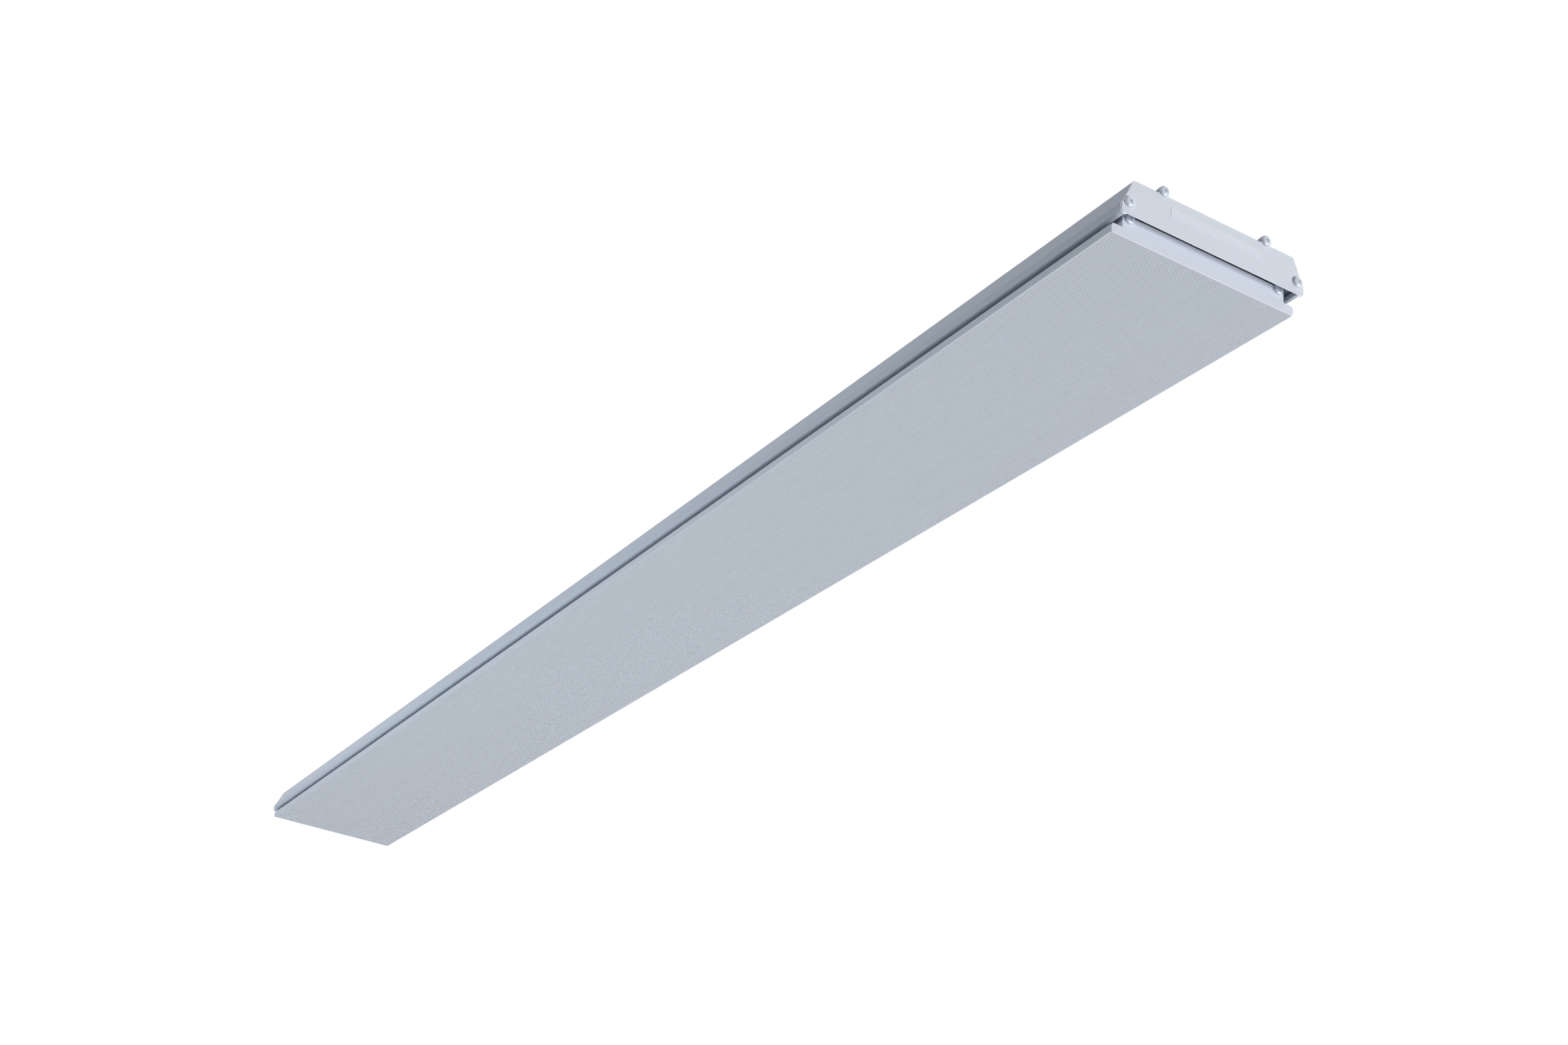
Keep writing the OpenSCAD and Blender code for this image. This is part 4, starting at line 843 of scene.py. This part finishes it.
class HEATER_OT_cable_gland(bpy.types.Operator):
    """Cable gland: body, rubber seal and dome nut"""
    bl_idname = "heater.cable_gland"
    bl_label = "Cable gland"

    def execute(self, context):
        foot = (context.scene.heater_trim.gland_x, 0, 0)
        start, stop = low("gland_body").z * MM, high("gland_body").z * MM
        body_flats, flange_low, flange_high = 24 * MM, 40.05 * MM, 45.05 * MM
        stem_radius, stem_top, neck = 10 * MM, 42 * MM, 9.8 * MM
        hexed = hexagon(body_flats, flange_low, flange_high, foot)
        stem = turned([(0, start, 0), (stem_radius, start, BLUNT), (stem_radius, stem_top, 0),
                       (neck, stem_top, 0), (neck, stop, FINE), (0, stop, 0)], foot=foot)
        body = joined(hexed, stem, "UNION")
        passage, seal_seat, seal_room = 6 * MM, 48 * MM, 7.25 * MM
        bore = turned([(0, start - EXTRA, 0), (passage, start - EXTRA, 0),
                       (passage, seal_seat, 0), (seal_room, seal_seat, 0),
                       (seal_room, stop + EXTRA, 0), (0, stop + EXTRA, 0)], foot=foot)
        piece("gland_hex_body", joined(body, bore), "plated_brass", stands_for=["gland_body"])

        seal_low, seal_high = low("gland_seal").z * MM, high("gland_seal").z * MM
        seal_bore, seal_radius, seal_mouth = 5.5 * MM, 7.2 * MM, 0.6 * MM
        seal = turned([(seal_bore, seal_low, SOFT), (seal_radius, seal_low, FINE),
                       (seal_radius, seal_high, FINE), (seal_bore, seal_high, seal_mouth)],
                      foot=foot)
        piece("gland_rubber", seal, "seal_rubber", stands_for=["gland_seal"])

        base, top = low("gland_dome_nut").z * MM, high("gland_dome_nut").z * MM
        nut_flats, waist, dome_radius, dome_round = 23.6 * MM, 56.1 * MM, 11.8 * MM, 2.4 * MM
        blank = hexagon(nut_flats, base, waist, foot)
        dome = turned([(0, base, 0), (dome_radius, base, SOFT), (dome_radius, top, dome_round),
                       (0, top, 0)], steps=64, foot=foot, segments=8)
        nut = joined(blank, dome, "UNION")
        inside, mouth, flare, flare_depth = 9.9 * MM, 5.2 * MM, 6.0 * MM, 0.8 * MM
        rim = top + 0.2 * MM
        hollow = turned([(0, base - EXTRA, 0), (inside, base - EXTRA, 0), (inside, waist, BLUNT),
                         (mouth, waist, 0), (mouth, top - flare_depth, 0), (flare, rim, 0),
                         (0, rim, 0)], foot=foot)
        piece("gland_dome", joined(nut, hollow), "plated_brass", stands_for=["gland_dome_nut"])
        return {"FINISHED"}


# Insulation

class HEATER_OT_insulation(bpy.types.Operator):
    """Mineral fibre mat that lies over the heating element"""
    bl_idname = "heater.insulation"
    bl_label = "Insulation mat"

    def execute(self, context):
        start, stop = low("insulation_mat") * MM, high("insulation_mat") * MM
        relief_half, relief = 5.5 * MM, start.z + 2.6 * MM
        edge, corner = 0.8 * MM, 1.6 * MM
        half = [(relief_half, relief, edge), (relief_half, start.z, edge),
                (stop.y, start.z, corner), (stop.y, stop.z, corner)]
        mat = drawn_along(mirrored(half), start.x, stop.x, segments=4, edge=edge)
        leg_y = context.scene.heater_panel.leg_y
        slot_start = (high("heating_element").x - 52) * MM
        slot_end = (high("heating_element").x - 13) * MM
        slot_half, slot_corner = 6 * MM, 3 * MM
        for y in (-leg_y, leg_y):
            mat = joined(mat, block((slot_start, y - slot_half, start.z - EXTRA),
                                    (slot_end, y + slot_half, stop.z + EXTRA), slot_corner))
        rows = 120
        for i in range(1, rows):
            x = start.x + (stop.x - start.x) * i / rows
            bmesh.ops.bisect_plane(mat, geom=mat.verts[:] + mat.edges[:] + mat.faces[:],
                                   plane_co=(x, 0, 0), plane_no=(1, 0, 0))
        bmesh.ops.recalc_face_normals(mat, faces=mat.faces)
        waves, deepest = 60, 0.35
        for vert in mat.verts:
            sag = noise.noise(vert.co * waves) * 0.5 + 0.5
            vert.co -= vert.normal * sag * deepest * MM
        made = piece("mineral_fibre_mat", mat, "mineral_mat", stands_for=["insulation_mat"],
                     sharp=60)
        return {"FINISHED"}


# Pieces that keep their packed shape

class HEATER_OT_inner_pieces(bpy.types.Operator):
    """Finishes on the inner pieces, whose packed shapes stay"""
    bl_idname = "heater.inner_pieces"
    bl_label = "Inner pieces"

    def execute(self, context):
        for part in frame["record"]["subparts"]:
            node = frame["nodes"][part["node"]]
            node.data.materials.clear()
            node.data.materials.append(finish_of(part["material_slot"]))
        return {"FINISHED"}


# The stage

WHITE = (1.0, 1.0, 1.0)
ROOM_TINT = (0.92, 0.96, 1.0)
FLOOR_GREY, FLOOR_WHITENESS, FLOOR_RADIUS = 0.1, 0.75, 40.0

# Each lamp's name, place, aim, size, watts and colour
LAMPS = [
    ("key", (5.9, 3.0, -3.0), (0.5, 0, 0), (3.4, 3.4), 445, WHITE),
    ("from_below", (-0.5, 0.7, -3.6), (-0.5, 0.7, 0), (3.0, 2.0), 75, WHITE),
    ("from_above", (-0.4, 2.4, 2.2), (0, 0, 0), (5.0, 4.0), 80, WHITE),
    ("far_end", (-3.2, 0.8, 0.6), (-0.9, 0, 0), (1.6, 1.6), 24, WHITE),
    ("side", (-0.4, -1.2, -0.18), (-0.4, 0, 0.02), (1.9, 0.3), 14.2, (0.88, 0.94, 1.0)),
]


def seen_or_mirrored(tree):
    """The output that is 1 for what the camera sees, straight or in metal or glass."""
    rays = tree.nodes.new("ShaderNodeLightPath")
    seen = rays.outputs["Is Camera Ray"]
    for kind in ("Is Glossy Ray", "Is Transmission Ray"):
        either = tree.nodes.new("ShaderNodeMath")
        either.operation = "MAXIMUM"
        tree.links.new(seen, either.inputs[0])
        tree.links.new(rays.outputs[kind], either.inputs[1])
        seen = either.outputs[0]
    return seen


def floor_material():
    """A pale floor that keeps its shadows but doesn't darken where the light falls off."""
    made = bpy.data.materials.new("pale_floor")
    made.use_nodes = True
    tree = made.node_tree
    matt = tree.nodes["Principled BSDF"]
    matt.inputs["Base Color"].default_value = (FLOOR_GREY, FLOOR_GREY, FLOOR_GREY, 1.0)
    matt.inputs["Roughness"].default_value = 0.9
    white = tree.nodes.new("ShaderNodeEmission")
    share = tree.nodes.new("ShaderNodeMath")
    share.operation = "MULTIPLY"
    share.inputs[1].default_value = FLOOR_WHITENESS
    tree.links.new(seen_or_mirrored(tree), share.inputs[0])
    both = tree.nodes.new("ShaderNodeMixShader")
    tree.links.new(share.outputs[0], both.inputs[0])
    tree.links.new(matt.outputs[0], both.inputs[1])
    tree.links.new(white.outputs[0], both.inputs[2])
    tree.links.new(both.outputs[0], tree.nodes["Material Output"].inputs["Surface"])
    return made


def lamp(name, spot, aim, extent, watts, colour):
    """An area lamp that shines from spot towards aim and isn't seen itself."""
    light = bpy.data.lights.new(name, "AREA")
    light.shape = "RECTANGLE"
    light.size, light.size_y = extent
    light.energy = watts
    light.color = colour
    made = bpy.data.objects.new(name, light)
    made.location = spot
    made.rotation_euler = (Vector(aim) - Vector(spot)).to_track_quat("-Z", "Y").to_euler()
    made.visible_camera = False
    bpy.context.scene.collection.objects.link(made)


class HEATER_OT_stage(bpy.types.Operator):
    """Camera, pale floor and soft light"""
    bl_idname = "heater.stage"
    bl_label = "Stage"

    def execute(self, context):
        scene = context.scene
        s = scene.heater_stage
        camera = bpy.data.objects.new("camera", bpy.data.cameras.new("camera"))
        camera.data.lens = s.lens
        camera.data.sensor_width = 36.0
        camera.data.sensor_fit = "HORIZONTAL"
        camera.data.clip_start, camera.data.clip_end = 0.01, 200.0
        camera.location = s.place
        camera.rotation_euler = s.turn
        scene.collection.objects.link(camera)
        scene.camera = camera
        scene.view_settings.view_transform = "Standard"

        world = bpy.data.worlds.new("room")
        world.use_nodes = True
        scene.world = world
        tree = world.node_tree
        ambient = tree.nodes["Background"]
        ambient.inputs["Color"].default_value = (*ROOM_TINT, 1.0)
        ambient.inputs["Strength"].default_value = s.daylight
        white = tree.nodes.new("ShaderNodeBackground")
        white.inputs["Color"].default_value = (*WHITE, 1.0)
        choice = tree.nodes.new("ShaderNodeMixShader")
        tree.links.new(seen_or_mirrored(tree), choice.inputs[0])
        tree.links.new(ambient.outputs[0], choice.inputs[1])
        tree.links.new(white.outputs[0], choice.inputs[2])
        tree.links.new(choice.outputs[0], tree.nodes["World Output"].inputs["Surface"])

        bm = bmesh.new()
        bmesh.ops.create_circle(bm, cap_ends=True, segments=96, radius=FLOOR_RADIUS)
        bmesh.ops.translate(bm, verts=bm.verts, vec=(0, 0, s.floor))
        mesh = bpy.data.meshes.new("floor")
        bm.to_mesh(mesh)
        bm.free()
        floor = bpy.data.objects.new("floor", mesh)
        scene.collection.objects.link(floor)
        mesh.materials.append(floor_material())

        for row in LAMPS:
            lamp(*row)
        return {"FINISHED"}


OPERATORS = [
    HEATER_OT_stage, HEATER_OT_housing, HEATER_OT_end_plates, HEATER_OT_radiant_panel,
    HEATER_OT_panel_caps, HEATER_OT_screws, HEATER_OT_brackets, HEATER_OT_bracket_locks,
    HEATER_OT_cable_gland, HEATER_OT_insulation, HEATER_OT_inner_pieces,
]


class HEATER_PT_pieces(bpy.types.Panel):
    """Sidebar panel with the heater's sizes and pieces"""
    bl_idname = "HEATER_PT_pieces"
    bl_label = "Strip heater"
    bl_space_type = "VIEW_3D"
    bl_region_type = "UI"
    bl_category = "Strip heater"

    def draw(self, context):
        for operator in OPERATORS:
            self.layout.operator(operator.bl_idname)
        for name, group in GROUPS.items():
            box = self.layout.box()
            box.label(text=group.__doc__)
            for key in group.__annotations__:
                box.prop(getattr(context.scene, name), key)


CLASSES = [*GROUPS.values(), *OPERATORS, HEATER_PT_pieces]


def register():
    """Registers the classes and gives the scene its groups of sizes."""
    for item in CLASSES:
        bpy.utils.register_class(item)
    for name, group in GROUPS.items():
        setattr(bpy.types.Scene, name, PointerProperty(type=group))


def unregister():
    """Takes the groups and the classes away again."""
    for name in GROUPS:
        delattr(bpy.types.Scene, name)
    for item in reversed(CLASSES):
        bpy.utils.unregister_class(item)


def main():
    """Makes every piece and the stage."""
    register()
    for operator in OPERATORS:
        group, _, action = operator.bl_idname.partition(".")
        getattr(getattr(bpy.ops, group), action)()


if __name__ == "__main__":
    main()
